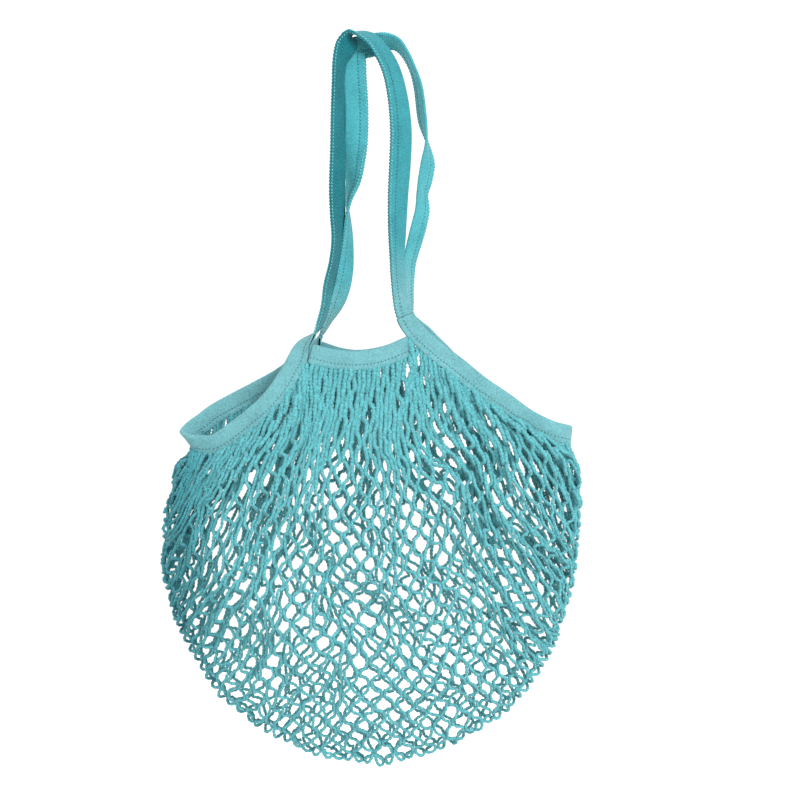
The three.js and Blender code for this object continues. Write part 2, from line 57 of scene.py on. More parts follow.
# The bag hangs from the tops of its handles. Sizes are in millimetres, as the bag was measured.
bag = {
    "bagWidth": 380.0,
    "bagDepth": 120.0,
    "netDrop": 385.0,
    "handleDrop": 282.0,
    "shoulderDrop": 88.0,
    "mouthSpan": 84.0,
    "mouthGap": 30.0,
    "bindingWidth": 18.0,
    "handleWidth": 22.0,
    "handleThickness": 2.6,
}
halfWidth = bag["bagWidth"] / 2
halfGap = bag["mouthGap"] / 2
mouthTop = -bag["handleDrop"]
bindingMiddle = mouthTop - bag["bindingWidth"] / 2

# Camera and picture
picture = {
    "size": 800,
    "pixelSize": 0.92,        # millimetres of the bag to a pixel
    "hangPixel": (366, 38),   # the hang point in the picture
    "distance": 3000.0,       # a long lens, as for a product shot
    "farthest": 50000.0,
}


def pictureX(px):
    return (px - picture["hangPixel"][0]) * picture["pixelSize"]


def pictureZ(py):
    return (picture["hangPixel"][1] - py) * picture["pixelSize"]


def makeCamera():
    data = bpy.data.cameras.new("bagCamera")
    camera = bpy.data.objects.new("bagCamera", data)
    scene.collection.objects.link(camera)
    middle = picture["size"] / 2
    camera.location = (pictureX(middle) * mm, -picture["distance"] * mm, pictureZ(middle) * mm)
    camera.rotation_euler = (math.pi / 2, 0, 0)
    data.lens = data.sensor_width * picture["distance"] / (picture["size"] * picture["pixelSize"])
    data.clip_end = picture["farthest"] * mm
    scene.camera = camera


makeCamera()
print("camera set")

# Sections of the one tape that makes both handles and both side bindings, from the front left root round:
# across, down and depth of its middle, then the way from its fold to its open edge.
# In the handles across is a share of mouthSpan, down of handleDrop and depth of half the mouthGap.
frontHandleSections = [
    (-0.57, 0.974, -0.87, 0.05, -0.99, -0.1),
    (-0.505, 0.938, -0.8, -0.25, -0.97, 0),
    (-0.44, 0.879, -0.7, -0.35, -0.94, 0),
    (-0.4, 0.807, -0.63, -0.4, -0.92, 0),
    (-0.34, 0.735, -0.6, -0.42, -0.91, 0),
    (-0.31, 0.664, -0.6, -0.46, -0.89, 0),
    (-0.31, 0.582, -0.6, -0.6, -0.8, 0),
    (-0.315, 0.5, -0.6, -0.64, -0.77, 0),
    (-0.305, 0.37, -0.6, -0.62, -0.78, 0),
    (-0.3, 0.246, -0.6, -0.6, -0.8, 0),
    (-0.295, 0.155, -0.67, -0.55, -0.83, 0),
    (-0.28, 0.086, -0.74, -0.6, -0.8, 0.1),
    (-0.215, 0.031, -0.78, -0.82, -0.5, 0.3),
    (-0.17, -0.005, -0.83, -0.3, -0.94, 0.1),
    (-0.05, -0.002, -0.8, -0.15, -0.93, -0.3),
    (0.07, 0.016, -0.73, -0.3, -0.78, -0.5),
    (0.17, 0.052, -0.67, -0.55, -0.7, -0.35),
    (0.27, 0.109, -0.63, -0.7, -0.65, -0.3),
    (0.34, 0.191, -0.6, -0.82, -0.55, -0.1),
    (0.38, 0.305, -0.6, -0.9, -0.43, 0),
    (0.37, 0.419, -0.6, -0.9, -0.43, 0),
    (0.35, 0.517, -0.6, -0.84, -0.54, 0),
    (0.34, 0.624, -0.63, -0.74, -0.67, 0),
    (0.34, 0.722, -0.67, -0.6, -0.8, 0),
    (0.35, 0.794, -0.73, -0.58, -0.81, 0),
    (0.37, 0.856, -0.8, -0.62, -0.77, -0.1),
    (0.43, 0.912, -0.87, -0.85, -0.4, -0.35),
]
backHandleSections = [
    (0.53, 0.92, 0.87, -0.15, 0.96, -0.2),
    (0.48, 0.863, 0.8, 0.33, 0.94, -0.05),
    (0.47, 0.794, 0.73, 0.42, 0.9, 0),
    (0.48, 0.735, 0.7, 0.5, 0.86, 0),
    (0.53, 0.673, 0.67, 0.6, 0.8, 0),
    (0.58, 0.618, 0.67, 0.63, 0.77, 0),
    (0.62, 0.562, 0.67, 0.58, 0.81, 0),
    (0.62, 0.51, 0.67, 0.45, 0.89, 0),
    (0.65, 0.465, 0.67, 0.58, 0.81, 0),
    (0.68, 0.409, 0.67, 0.56, 0.83, 0),
    (0.67, 0.347, 0.67, 0.1, 1, 0),
    (0.62, 0.272, 0.67, -0.3, 0.95, 0),
    (0.57, 0.161, 0.67, -0.3, 0.95, 0),
    (0.51, 0.102, 0.67, -0.22, 0.97, 0),
    (0.42, 0.05, 0.6, -0.25, 0.95, -0.1),
    (0.33, 0.023, 0.5, -0.2, 0.88, -0.42),
    (0.22, 0.016, 0.4, -0.1, 0.7, -0.7),
    (0.11, 0.024, 0.27, 0.12, 0.3, -0.94),
    (-0.01, 0.034, 0.0, 0.35, 0, -0.93),
    (-0.11, 0.042, -0.25, 0.65, -0.05, -0.75),
    (-0.12, 0.108, -0.27, 0.94, -0.1, -0.25),
    (-0.1, 0.226, -0.27, 1, -0.1, 0),
    (-0.1, 0.321, -0.27, 1, -0.15, 0),
    (-0.12, 0.409, -0.2, 0.85, -0.5, 0),
    (-0.14, 0.471, -0.07, 0.62, -0.77, 0),
    (-0.195, 0.533, 0.13, 0.25, -0.96, 0),
    (-0.2, 0.585, 0.27, -0.1, -1, 0),
    (-0.2, 0.644, 0.33, -0.33, -0.94, 0),
    (-0.21, 0.7, 0.33, -0.5, -0.86, 0),
    (-0.23, 0.758, 0.33, -0.64, -0.76, 0),
    (-0.27, 0.82, 0.33, -0.68, -0.73, 0),
    (-0.335, 0.876, 0.33, -0.6, -0.8, 0),
    (-0.42, 0.925, 0.33, -0.35, -0.93, 0),
    (-0.5, 0.98, 0.37, 0, -0.99, -0.05),
]

# In the bindings across is a share of halfWidth, down of shoulderDrop below the mouth's top, depth as above.
rightBindingSections = [
    (0.215, -0.3, -0.9, -0.8, -0.25, -0.55),
    (0.264, -0.18, -0.97, -0.7, -0.1, -0.7),
    (0.341, -0.03, -1.07, -0.65, -0.05, -0.76),
    (0.438, 0.13, -1.2, -0.6, 0, -0.8),
    (0.552, 0.33, -1.27, -0.6, 0, -0.8),
    (0.668, 0.5, -1.2, -0.55, 0, -0.84),
    (0.784, 0.68, -0.97, -0.4, 0, -0.92),
    (0.901, 0.8, -0.81, -0.25, 0, -0.96),
    (0.956, 0.83, -0.6, -0.15, 0, -0.98),
    (0.985, 0.85, 0, -0.1, 0, -1),
    (0.956, 0.88, 0.6, -0.1, -0.05, -1),
    (0.901, 0.9, 0.81, -0.1, -0.1, -1),
    (0.813, 0.91, 1, -0.15, -0.15, -1),
    (0.717, 0.79, 1.27, -0.5, -0.1, -0.86),
    (0.61, 0.55, 1.37, -0.64, 0, -0.77),
    (0.494, 0.28, 1.33, -0.66, 0, -0.75),
    (0.383, 0.02, 1.27, -0.66, 0.05, -0.75),
    (0.291, -0.19, 1.03, -0.6, 0.4, -0.6),
]
leftBindingSections = [
    (-0.252, -0.04, 0.73, 0.45, -0.75, -0.45),
    (-0.32, 0.08, 1.07, 0.6, -0.35, -0.7),
    (-0.416, 0.24, 1.3, 0.56, -0.1, -0.82),
    (-0.523, 0.37, 1.4, 0.5, 0, -0.86),
    (-0.629, 0.49, 1.33, 0.5, 0, -0.86),
    (-0.736, 0.62, 1.03, 0.4, 0, -0.9),
    (-0.79, 0.71, 0.81, 0.4, 0, -0.92),
    (-0.84, 0.79, 0.6, 0.5, 0, -0.87),
    (-0.866, 0.865, 0, 0.62, 0, -0.78),
    (-0.84, 0.92, -0.6, 0.5, 0.25, -0.8),
    (-0.794, 0.94, -0.81, 0.3, 0.3, -0.88),
    (-0.726, 0.93, -1, 0.35, 0.2, -0.9),
    (-0.593, 0.74, -1.3, 0.6, 0, -0.78),
    (-0.47, 0.51, -1.37, 0.68, 0, -0.72),
    (-0.392, 0.29, -1.23, 0.72, 0, -0.69),
    (-0.334, 0.07, -1.07, 0.78, -0.05, -0.62),
    (-0.303, -0.08, -0.93, 0.6, -0.7, -0.35),
]

# Centre bindings: across is a share of mouthSpan from its middle, down a share of bindingWidth.
frontCentreSections = [
    (-0.5, 0.22, -1.2, 0, 0, -1),
    (-0.25, 0.5, -1.2, 0, 0, -1),
    (0.02, 0.58, -1.2, 0, 0, -1),
    (0.27, 0.4, -1.12, 0, 0, -1),
    (0.6, -0.22, -0.97, 0, 0, -1),
]
backCentreSections = [
    (-0.42, 0.05, 1.15, 0, 0, -1),
    (-0.2, 0.38, 1.2, 0, 0, -1),
    (0, 0.5, 1.2, 0, 0, -1),
    (0.25, 0.36, 1.15, 0, 0, -1),
    (0.5, 0, 1.1, 0, 0, -1),
]
centreShift = -0.1  # the mouth's middle lies left of the hang point, as a share of mouthSpan
centreRise = 0.25   # the centre bindings' level above bindingMiddle, as a share of bindingWidth


tiny = 1e-9  # keeps a division off nought


def unit(rows):
    return rows / np.linalg.norm(rows, axis=-1, keepdims=True)


def handlePlace(across, down, depth):
    return (bag["mouthSpan"] * across, halfGap * depth, bag["handleThickness"] / 2 - bag["handleDrop"] * down)


def bindingPlace(across, down, depth):
    return (halfWidth * across, halfGap * depth, bindingMiddle - bag["shoulderDrop"] * down)


def centrePlace(across, down, depth):
    level = bindingMiddle + bag["bindingWidth"] * (centreRise - down)
    return (bag["mouthSpan"] * (centreShift + across), halfGap * depth, level)


def splineAt(points, shares, closed, even=False):
    # a Catmull-Rom spline through the points; even takes every span as equally long
    count = len(points)
    spans = count if closed else count - 1
    place = np.asarray(shares, float) * spans
    first = np.clip(np.floor(place), 0, spans - 1).astype(int)
    w = (place - first)[:, None]
    if closed:
        p0, p1, p2, p3 = (points[(first + k) % count] for k in (-1, 0, 1, 2))
    else:
        ends = np.vstack([2 * points[0] - points[1], points, 2 * points[-1] - points[-2]])
        p0, p1, p2, p3 = (ends[first + k] for k in (0, 1, 2, 3))
    if even:
        m1, m2 = (p2 - p0) / 2, (p3 - p1) / 2
    else:
        pairs = ((p0, p1), (p1, p2), (p2, p3))
        d0, d1, d2 = (np.sqrt(np.linalg.norm(b - a, axis=1, keepdims=True)) + tiny for a, b in pairs)
        m1 = ((p1 - p0) / d0 - (p2 - p0) / (d0 + d1) + (p2 - p1) / d1) * d1
        m2 = ((p2 - p1) / d1 - (p3 - p1) / (d1 + d2) + (p3 - p2) / d2) * d1
    return (
        p1 * (2 * w**3 - 3 * w**2 + 1) + m1 * (w**3 - 2 * w**2 + w)
        + p2 * (3 * w**2 - 2 * w**3) + m2 * (w**3 - w**2)
    )


class TapePath:
    # the middle of a tape with, at each place, the way along it, the way to its open edge and its face
    fineSteps = 3000

    def __init__(self, rows, placeOf, closed=False):
        self.closed = closed
        self.places = np.array([place(*row[:3]) for row, place in zip(rows, placeOf)])
        self.ways = unit(np.array([row[3:] for row in rows], float))

    def frames(self, shares):
        step = 2e-4  # as a share of the path, for the way along it
        at = splineAt(self.places, shares, self.closed)
        low, high = shares - step, shares + step
        if self.closed:
            low, high = low % 1, high % 1
        else:
            low, high = np.maximum(low, 0), np.minimum(high, 1)
        along = unit(splineAt(self.places, high, self.closed) - splineAt(self.places, low, self.closed))
        across = splineAt(self.ways, shares, self.closed, even=True)
        across = unit(across - along * np.sum(across * along, axis=1, keepdims=True))
        return {"at": at, "across": across, "face": np.cross(along, across)}

    def evenly(self, start, end, spacing=1.0, count=None):
        # frames at equal distances between two shares
        fine = np.linspace(start, end, self.fineSteps)
        places = splineAt(self.places, fine % 1 if self.closed else fine, self.closed)
        length = np.concatenate([[0], np.cumsum(np.linalg.norm(np.diff(places, axis=0), axis=1))])
        count = count or max(int(round(length[-1] / spacing)), 2)
        wanted = np.linspace(0, length[-1], count + 1)
        shares = np.interp(wanted, length, fine)
        made = self.frames(shares % 1 if self.closed else shares)
        made["length"] = wanted
        return made


loopRows = frontHandleSections + rightBindingSections + backHandleSections + leftBindingSections
loopPlaces = (
    [handlePlace] * len(frontHandleSections) + [bindingPlace] * len(rightBindingSections)
    + [handlePlace] * len(backHandleSections) + [bindingPlace] * len(leftBindingSections)
)
tapeLoop = TapePath(loopRows, loopPlaces, closed=True)
frontCentre = TapePath(frontCentreSections, [centrePlace] * len(frontCentreSections))
backCentre = TapePath(backCentreSections, [centrePlace] * len(backCentreSections))
loopCount = len(loopRows)
rootFrontRight = (len(frontHandleSections) - 1) / loopCount
rootBackRight = rootFrontRight + (len(rightBindingSections) + 1) / loopCount
rootBackLeft = rootBackRight + (len(backHandleSections) - 1) / loopCount


def cornerShare(start, sections):
    # a corner of the mouth is where the binding crosses from front to back, at depth 0
    return start + (1 + [row[2] for row in sections].index(0)) / loopCount


rightCorner = cornerShare(rootFrontRight, rightBindingSections)
leftCorner = cornerShare(rootBackLeft, leftBindingSections)


# Colours and materials
def hexColour(code):
    # sRGB hex to linear
    parts = [int(code[i:i + 2], 16) / 255 for i in (1, 3, 5)]
    return [c / 12.92 if c <= 0.04045 else ((c + 0.055) / 1.055) ** 2.4 for c in parts] + [1.0]


def addNode(tree, kind, settings=None, links=None):
    node = tree.nodes.new(kind)
    for key, value in (settings or {}).items():
        if isinstance(key, str) and hasattr(node, key):
            setattr(node, key, value)
        else:
            node.inputs[key].default_value = value
    for key, source in (links or {}).items():
        tree.links.new(source, node.inputs[key])
    return node


def newMaterial(name):
    material = bpy.data.materials.new(name)
    material.use_nodes = True
    tree = material.node_tree
    tree.nodes.clear()
    shader = addNode(tree, "ShaderNodeBsdfPrincipled")
    addNode(tree, "ShaderNodeOutputMaterial", links={"Surface": shader.outputs[0]})
    return material, tree, shader


def shade(colour, factor):
    # a lighter or darker tone of a linear colour, one factor for all of it or one for each part
    factors = factor if isinstance(factor, tuple) else (factor,) * 3
    return [min(c * f, 1.0) for c, f in zip(colour, factors)] + [1.0]


def setCloth(shader, look):
    # cotton has no gloss, only the soft light that its loose fibres catch at a slant
    shader.inputs["Roughness"].default_value = look["roughness"]
    shader.inputs["Specular IOR Level"].default_value = look["specular"]
    shader.inputs["Sheen Weight"].default_value = look["sheen"]
    shader.inputs["Sheen Roughness"].default_value = look["sheenRoughness"]


tapeLook = {
    # the back handle has the tape's colour; the front handle's darker colour is painted shade
    "handleColoursWithShade": {"front_handle": "#2C7F88", "back_handle": "#3D949D"},
    # how dark the inward side of each handle is painted, as painted shade
    "shadedSideTones": {"front_handle": 0.62, "back_handle": 1.0},
    "bindingColour": "#629AA0",
    "fadeLength": 75.0,       # over which a handle pales to the bindings' colour at its roots
    "ribPitch": 1.5,          # the real ribs are 0.8 mm apart, too fine to show
    "ribDepth": 0.35,         # beside a weave of 1
    "weavePatches": 650.0,    # to a metre: threads of 0.5 mm drawn as patches of 1.5 mm
    "wornPatches": 45.0,      # to a metre
    "seamPitch": 3.2,
    "seamHalfWidth": (0.3, 0.9),
    "stitchHole": (0.3, 0.9),
    "bumpStrength": 0.7,
    "bumpDepth": 0.5,
    "roughness": 0.9,
    "specular": 0.2,
    "sheen": 0.12,
    "sheenRoughness": 0.5,
}


def tapeMaterial(name, colour, seamAt, shadedSideTone=1.0, length=None):
    # Woven cotton tape, dyed, folded and sewn: matt, with fine ribs across it and a row of sunk stitches
    material, tree, shader = newMaterial(name)
    base = hexColour(colour)[:3]
    uv = addNode(tree, "ShaderNodeUVMap", {"uv_map": "tapeUV"})
    parts = addNode(tree, "ShaderNodeSeparateXYZ", links={0: uv.outputs[0]})
    along, across = parts.outputs[0], parts.outputs[1]

    def wave(pitch):
        # a sine along the tape
        turn = 2 * math.pi / (pitch * mm)
        angle = addNode(tree, "ShaderNodeMath", {"operation": "MULTIPLY", 1: turn}, {0: along})
        return addNode(tree, "ShaderNodeMath", {"operation": "SINE"}, {0: angle.outputs[0]}).outputs[0]

    place = addNode(tree, "ShaderNodeTexCoord")
    weave, worn = (
        addNode(
            tree, "ShaderNodeTexNoise", {"Scale": scale, "Detail": 3.0}, {"Vector": place.outputs["Object"]}
        )
        for scale in (tapeLook["weavePatches"], tapeLook["wornPatches"])
    )

    # the row of holes that the seam's stitches sink into
    seamOff = addNode(tree, "ShaderNodeMath", {"operation": "SUBTRACT", 1: seamAt * mm}, {0: across})
    seamNear = addNode(tree, "ShaderNodeMath", {"operation": "ABSOLUTE"}, {0: seamOff.outputs[0]})
    inside, outside = tapeLook["seamHalfWidth"]
    seamBand = addNode(
        tree, "ShaderNodeMapRange",
        {1: inside * mm, 2: outside * mm, 3: 1.0, 4: 0.0}, {0: seamNear.outputs[0]},
    )
    rim, middle = tapeLook["stitchHole"]
    hole = addNode(tree, "ShaderNodeMapRange", {1: rim, 2: middle}, {0: wave(tapeLook["seamPitch"])})
    holes = addNode(
        tree, "ShaderNodeMath", {"operation": "MULTIPLY"}, {0: hole.outputs[0], 1: seamBand.outputs[0]}
    )

    # dark between the threads, pale where it is worn, and painted shade in the stitch holes
    tone = addNode(tree, "ShaderNodeMapRange", {1: 0.4, 2: 0.62, 3: 0.0, 4: 0.7}, {0: weave.outputs[0]})
    dyed = addNode(
        tree, "ShaderNodeMix",
        {"data_type": "RGBA", 6: shade(base, 1.0), 7: shade(base, 0.62)}, {0: tone.outputs[0]},
    )
    wear = addNode(tree, "ShaderNodeMapRange", {1: 0.35, 2: 0.7, 3: 0.0, 4: 0.3}, {0: worn.outputs[0]})
    pale = [min(c * 1.35 + 0.02, 1.0) for c in base] + [1.0]
    layers = [("MIX", pale, wear), ("MIX", shade(base, 0.3), holes)]
    if shadedSideTone < 1:
        # painted shade: the side that is folded inwards is darker
        sideOf = addNode(tree, "ShaderNodeAttribute", {"attribute_name": "tapeSide"})
        shadedSideMask = addNode(tree, "ShaderNodeMapRange", {1: -0.2, 2: 0.2, 3: 0.0, 4: 1.0}, {0: sideOf.outputs[2]})
        layers.append(("MULTIPLY", [shadedSideTone * 0.25, shadedSideTone, shadedSideTone * 1.03, 1], shadedSideMask))
    if length is not None:
        toEnd = addNode(tree, "ShaderNodeMath", {"operation": "SUBTRACT", 0: length * mm}, {1: along})
        nearest = addNode(tree, "ShaderNodeMath", {"operation": "MINIMUM"}, {0: along, 1: toEnd.outputs[0]})
        fade = addNode(
            tree, "ShaderNodeMapRange",
            {"interpolation_type": "SMOOTHSTEP", 1: 0.0, 2: tapeLook["fadeLength"] * mm, 3: 1.0, 4: 0.0},
            {0: nearest.outputs[0]},
        )
        ratio = [b / c for b, c in zip(hexColour(tapeLook["bindingColour"])[:3], base)]
        layers.append(("MULTIPLY", ratio + [1], fade))
    surface = dyed.outputs[2]
    for blend, tint, factor in layers:
        over = addNode(
            tree, "ShaderNodeMix", {"data_type": "RGBA", "blend_type": blend, 7: tint},
            {0: factor.outputs[0], 6: surface},
        )
        surface = over.outputs[2]

    height = addNode(
        tree, "ShaderNodeMath", {"operation": "MULTIPLY_ADD", 1: tapeLook["ribDepth"]},
        {0: wave(tapeLook["ribPitch"]), 2: weave.outputs[0]},
    )
    sunk = addNode(
        tree, "ShaderNodeMath", {"operation": "SUBTRACT"}, {0: height.outputs[0], 1: holes.outputs[0]}
    )
    bump = addNode(
        tree, "ShaderNodeBump",
        {"Strength": tapeLook["bumpStrength"], "Distance": tapeLook["bumpDepth"] * mm},
        {"Height": sunk.outputs[0]},
    )
    tree.links.new(surface, shader.inputs["Base Color"])
    tree.links.new(bump.outputs[0], shader.inputs["Normal"])
    setCloth(shader, tapeLook)
    return material


cordLook = {
    "netColour": "#55A2A9",
    "edgeThreadColour": "#5FB2B9",
    "seamThreadColours": {"handle": "#2F848C", "binding": "#4C949B"},
    "pebbles": 620.0,         # to a metre: loops of 1 mm drawn as patches of 1.6 mm
    "wornPatches": 40.0,      # to a metre
    # painted shade on the bag's left side, multiplied into the cord's colour
    "leftShadeTone": (0.35, 0.62, 0.66),
    "leftShadeFrom": -125.0,       # across the bag, where the painted shade on the left side starts
    "leftShadeTo": -165.0,
    "bumpStrength": 0.8,
    "bumpDepth": 0.5,
    "roughness": 0.9,
    "specular": 0.2,
    "sheen": 0.2,
    "sheenRoughness": 0.5,
}


def cordMaterial(name, colour):
    # Knitted or spun cotton cord: matt and pebbly, dark between its loops
    material, tree, shader = newMaterial(name)
    base = hexColour(colour)[:3]
    place = addNode(tree, "ShaderNodeTexCoord")
    loops, worn = (
        addNode(
            tree, "ShaderNodeTexNoise", {"Scale": scale, "Detail": 2.0}, {"Vector": place.outputs["Object"]}
        )
        for scale in (cordLook["pebbles"], cordLook["wornPatches"])
    )
    tone = addNode(tree, "ShaderNodeMapRange", {1: 0.4, 2: 0.64, 3: 0.0, 4: 0.7}, {0: loops.outputs[0]})
    dyed = addNode(
        tree, "ShaderNodeMix",
        {"data_type": "RGBA", 6: shade(base, 1.1), 7: shade(base, 0.36)}, {0: tone.outputs[0]},
    )
    wear = addNode(tree, "ShaderNodeMapRange", {1: 0.35, 2: 0.7, 3: 0.0, 4: 0.35}, {0: worn.outputs[0]})
    surface = addNode(
        tree, "ShaderNodeMix",
        {"data_type": "RGBA", 7: shade(base, 0.75)}, {0: wear.outputs[0], 6: dyed.outputs[2]},
    )
    # painted shade: the cord darkens towards the bag's left side, where the folds hang in shade
    sides = addNode(tree, "ShaderNodeSeparateXYZ", links={0: place.outputs["Object"]})
    leftShadeMask = addNode(
        tree, "ShaderNodeMapRange",
        {1: cordLook["leftShadeTo"] * mm, 2: cordLook["leftShadeFrom"] * mm, 3: 0.9, 4: 0.0},
        {0: sides.outputs[0]},
    )
    leftShadeLayer = addNode(
        tree, "ShaderNodeMix", {"data_type": "RGBA", "blend_type": "MULTIPLY", 7: [*cordLook["leftShadeTone"], 1]},
        {0: leftShadeMask.outputs[0], 6: surface.outputs[2]},
    )
    bump = addNode(
        tree, "ShaderNodeBump",
        {"Strength": cordLook["bumpStrength"], "Distance": cordLook["bumpDepth"] * mm},
        {"Height": loops.outputs[0]},
    )
    tree.links.new(leftShadeLayer.outputs[2], shader.inputs["Base Color"])
    tree.links.new(bump.outputs[0], shader.inputs["Normal"])
    setCloth(shader, cordLook)
    return material


# Meshes
def makeObject(name, points, faces, material):
    mesh = bpy.data.meshes.new(name)
    mesh.from_pydata((np.asarray(points) * mm).tolist(), [], faces)
    mesh.materials.append(material)
    mesh.polygons.foreach_set("use_smooth", [True] * len(mesh.polygons))
    mesh.update()
    piece = bpy.data.objects.new(name, mesh)
    scene.collection.objects.link(piece)
    return piece


handleTape = {
    "ringSpacing": 0.75,
    "seamInset": 8.0,         # stitch row in from the open edge
    "scallopPitch": 3.0,
    "scallopDepth": 0.9,
    "scallopThinning": 0.3,   # of the edge's thickness, between two scallops
    "rootLength": 40.0,       # over which the tape narrows to the binding's width
}
bindingTape = {
    "ringSpacing": 1.2,
    "seamInset": 5.0,
    "thickness": 4.2,
    "slot": 1.6,
}


def handleHalfWidth(length):
    toEnd = np.minimum(length, length[-1] - length)
    fill = np.clip(toEnd / handleTape["rootLength"], 0, 1)
    return (bag["bindingWidth"] + (bag["handleWidth"] - bag["bindingWidth"]) * fill) / 2


def wholeProfile(top):
    # the upper half and its mirror image, as [towards the open edge, towards the face] for every ring
    rows = top + [(a, -b) for a, b in reversed(top[1:])]
    return np.stack([np.stack([a, b], axis=-1) for a, b in rows], axis=1)


def handleProfile(length):
    # from the rounded fold over the sunk seam to the scalloped open edge
    w = handleHalfWidth(length)
    t = np.full_like(w, bag["handleThickness"] / 2)
    seam = w - handleTape["seamInset"]
    wave = 0.5 - 0.5 * np.cos(2 * np.pi * length / handleTape["scallopPitch"])
    dip = handleTape["scallopDepth"] * wave
    puff = 1 - handleTape["scallopThinning"] * wave
    return wholeProfile([
        (-w, 0 * t), (-w + 0.2, 0.6 * t), (-w + 0.9, 1.0 * t), (-w + 2.5, 0.95 * t), (-w / 3, 0.9 * t),
        (seam - 1.2, 0.92 * t), (seam, 0.7 * t), (seam + 1.2, 0.92 * t), (w - 3.2, 0.85 * t),
        (w - 2.2, 1.0 * t * puff), (w - 1.0 - dip * 0.6, 1.05 * t * puff),
        (w - 0.1 - dip, 0.7 * t * puff), (w - 0.4 - dip, 0.12 * t),
    ])


def bindingProfile(length):
    # an open fold: round the outside to the open edge, then back along the slot that holds the net
    w = np.full_like(length, bag["bindingWidth"] / 2)
    t = np.full_like(w, bindingTape["thickness"] / 2)
    slot = 0 * w + bindingTape["slot"] / 2
    seam = w - bindingTape["seamInset"]
    return wholeProfile([
        (-w, 0 * t), (-w + 0.3, 0.6 * t), (-w + 1.2, 0.92 * t), (-w + 4, 1.0 * t), (0 * w, 1.0 * t),
        (seam - 1.5, 0.98 * t), (seam, 0.86 * t), (seam + 1.5, 0.98 * t), (w - 1.0, 0.96 * t), (w, 0.78 * t),
        (w, slot), (w - 3, slot), (-w + 1.6, slot),
    ])


def sweepTape(name, frames, profile, material):
    rings, size = profile.shape[:2]
    length = frames["length"]
    spread = frames["across"][:, None] * profile[..., :1] + frames["face"][:, None] * profile[..., 1:]
    points = (frames["at"][:, None] + spread).reshape(-1, 3)
    faces, uvs = [], []
    for i in range(rings - 1):
        low, high = i * size, (i + 1) * size
        for k in range(size):
            k2 = (k + 1) % size
            faces.append((low + k, high + k, high + k2, low + k2))
            uvs += [(length[i], profile[i, k, 0]), (length[i + 1], profile[i + 1, k, 0])]
            uvs += [(length[i + 1], profile[i + 1, k2, 0]), (length[i], profile[i, k2, 0])]
    last = (rings - 1) * size
    faces.append(tuple(range(size)))
    uvs += [(0, v) for v in profile[0, :, 0]]
    faces.append(tuple(last + k for k in reversed(range(size))))
    uvs += [(length[-1], v) for v in profile[-1, ::-1, 0]]
    piece = makeObject(name, points, faces, material)
    layer = piece.data.uv_layers.new(name="tapeUV")
    layer.data.foreach_set("uv", (np.array(uvs) * mm).ravel())
    side = piece.data.attributes.new("tapeSide", "FLOAT", "POINT")
    side.data.foreach_set("value", np.sign(profile[..., 1]).ravel())
    return piece


handleSeam = bag["handleWidth"] / 2 - handleTape["seamInset"]
bindingSeam = bag["bindingWidth"] / 2 - bindingTape["seamInset"]
bindingMaterial = tapeMaterial("wovenCottonTapeBinding", tapeLook["bindingColour"], bindingSeam)

rootGap = 0.1 / 2200  # as a share of the whole loop, so that no two stretches touch
stretches = {
    "front_handle": (0, rootFrontRight, "handle"),
    "right_side_binding": (rootFrontRight, rootBackRight, "binding"),
    "back_handle": (rootBackRight, rootBackLeft, "handle"),
    "left_side_binding": (rootBackLeft, 1, "binding"),
}
tapePieces = {}
tapeFrames = {}
for node, (start, end, kind) in stretches.items():
    if kind == "handle":
        frames = tapeLoop.evenly(start + rootGap, end - rootGap, handleTape["ringSpacing"])
        profile = handleProfile(frames["length"])
        material = tapeMaterial(
            "wovenCottonTape_" + node, tapeLook["handleColoursWithShade"][node], handleSeam,
            tapeLook["shadedSideTones"][node], frames["length"][-1],
        )
    else:
        frames = tapeLoop.evenly(start + rootGap, end - rootGap, bindingTape["ringSpacing"])
        profile = bindingProfile(frames["length"])
        material = bindingMaterial
    tapePieces[node] = sweepTape(node + "_tape", frames, profile, material)
    tapeFrames[node] = frames
for node, path in (("front_centre_binding", frontCentre), ("back_centre_binding", backCentre)):
    frames = path.evenly(0, 1, bindingTape["ringSpacing"])
    tapePieces[node] = sweepTape(node + "_tape", frames, bindingProfile(frames["length"]), bindingMaterial)
    tapeFrames[node] = frames
print("tapes made")

# The fine net: a front and a back sheet of diamond meshes that meet all along the bag's outline
net = {
    "leftColumns": 16,        # columns of meshes on the left side binding's front, as many on its back
    "centreColumns": 12,
    "rightColumns": 18,
    "barLength": 14.7,        # from joint to joint
    "barUneven": 0.13,
    "cordThickness": 3.0,
    "jointLength": 5.4,       # over which two strands run side by side
    "tuck": 1.5,              # how far the strands reach into the bindings
    "crumple": 4.2,
    "pleatDepth": 4.0,
    "slack": 1.0,
    "pointSpacing": 1.75,
    "seed": 7,
}
# The margins beside the roots, in rows of the tapes' sections, and on the centre bindings, as shares
hanging = {"leftMargin": 1.9, "rightMargin": 1.7, "centreFrom": 0.03, "centreTo": 0.97}
guides = {
    "places": 80,             # on each line from a binding to the outline
    "waves": 18,              # laid over each other they make the crumples
    "waveLengths": (45, 120),
    "waveShare": 0.6,         # of the crumple, for each wave
    "backSway": 6,            # how far the back sheet's lines wander from the front's, across
    "backSwayLength": 55,
    "crumpleRate": 2.5,       # the crumples are full 1 / 2.5 of the way down a line
    "calmRate": 8,            # and die away over its last eighth
    "settleRate": 3,          # the sheet has its full depth a third of the way down
    "closeRate": 6,           # and closes on the outline over its last sixth
}
dome = {"fullest": 0.58, "roundness": 2.4}  # where the bag is deepest, as a share of netDrop
meshRows = {
    "widestBar": 0.72,        # a bar lies no further across than this share of it
    "smoothing": 7,           # half columns over which the last rows are evened out
    "endMargin": 1.1,         # half rows left free at the outline
    "edgeInset": 0.2,         # the last joints' distance from the outline, in half rows
    "beyondInset": 0.4,       # more for a joint whose neighbours reach further
}
pleats = {"pitch": 11, "range": 5, "rows": 6, "columnTurn": 0.9, "rowTurn": 0.35}
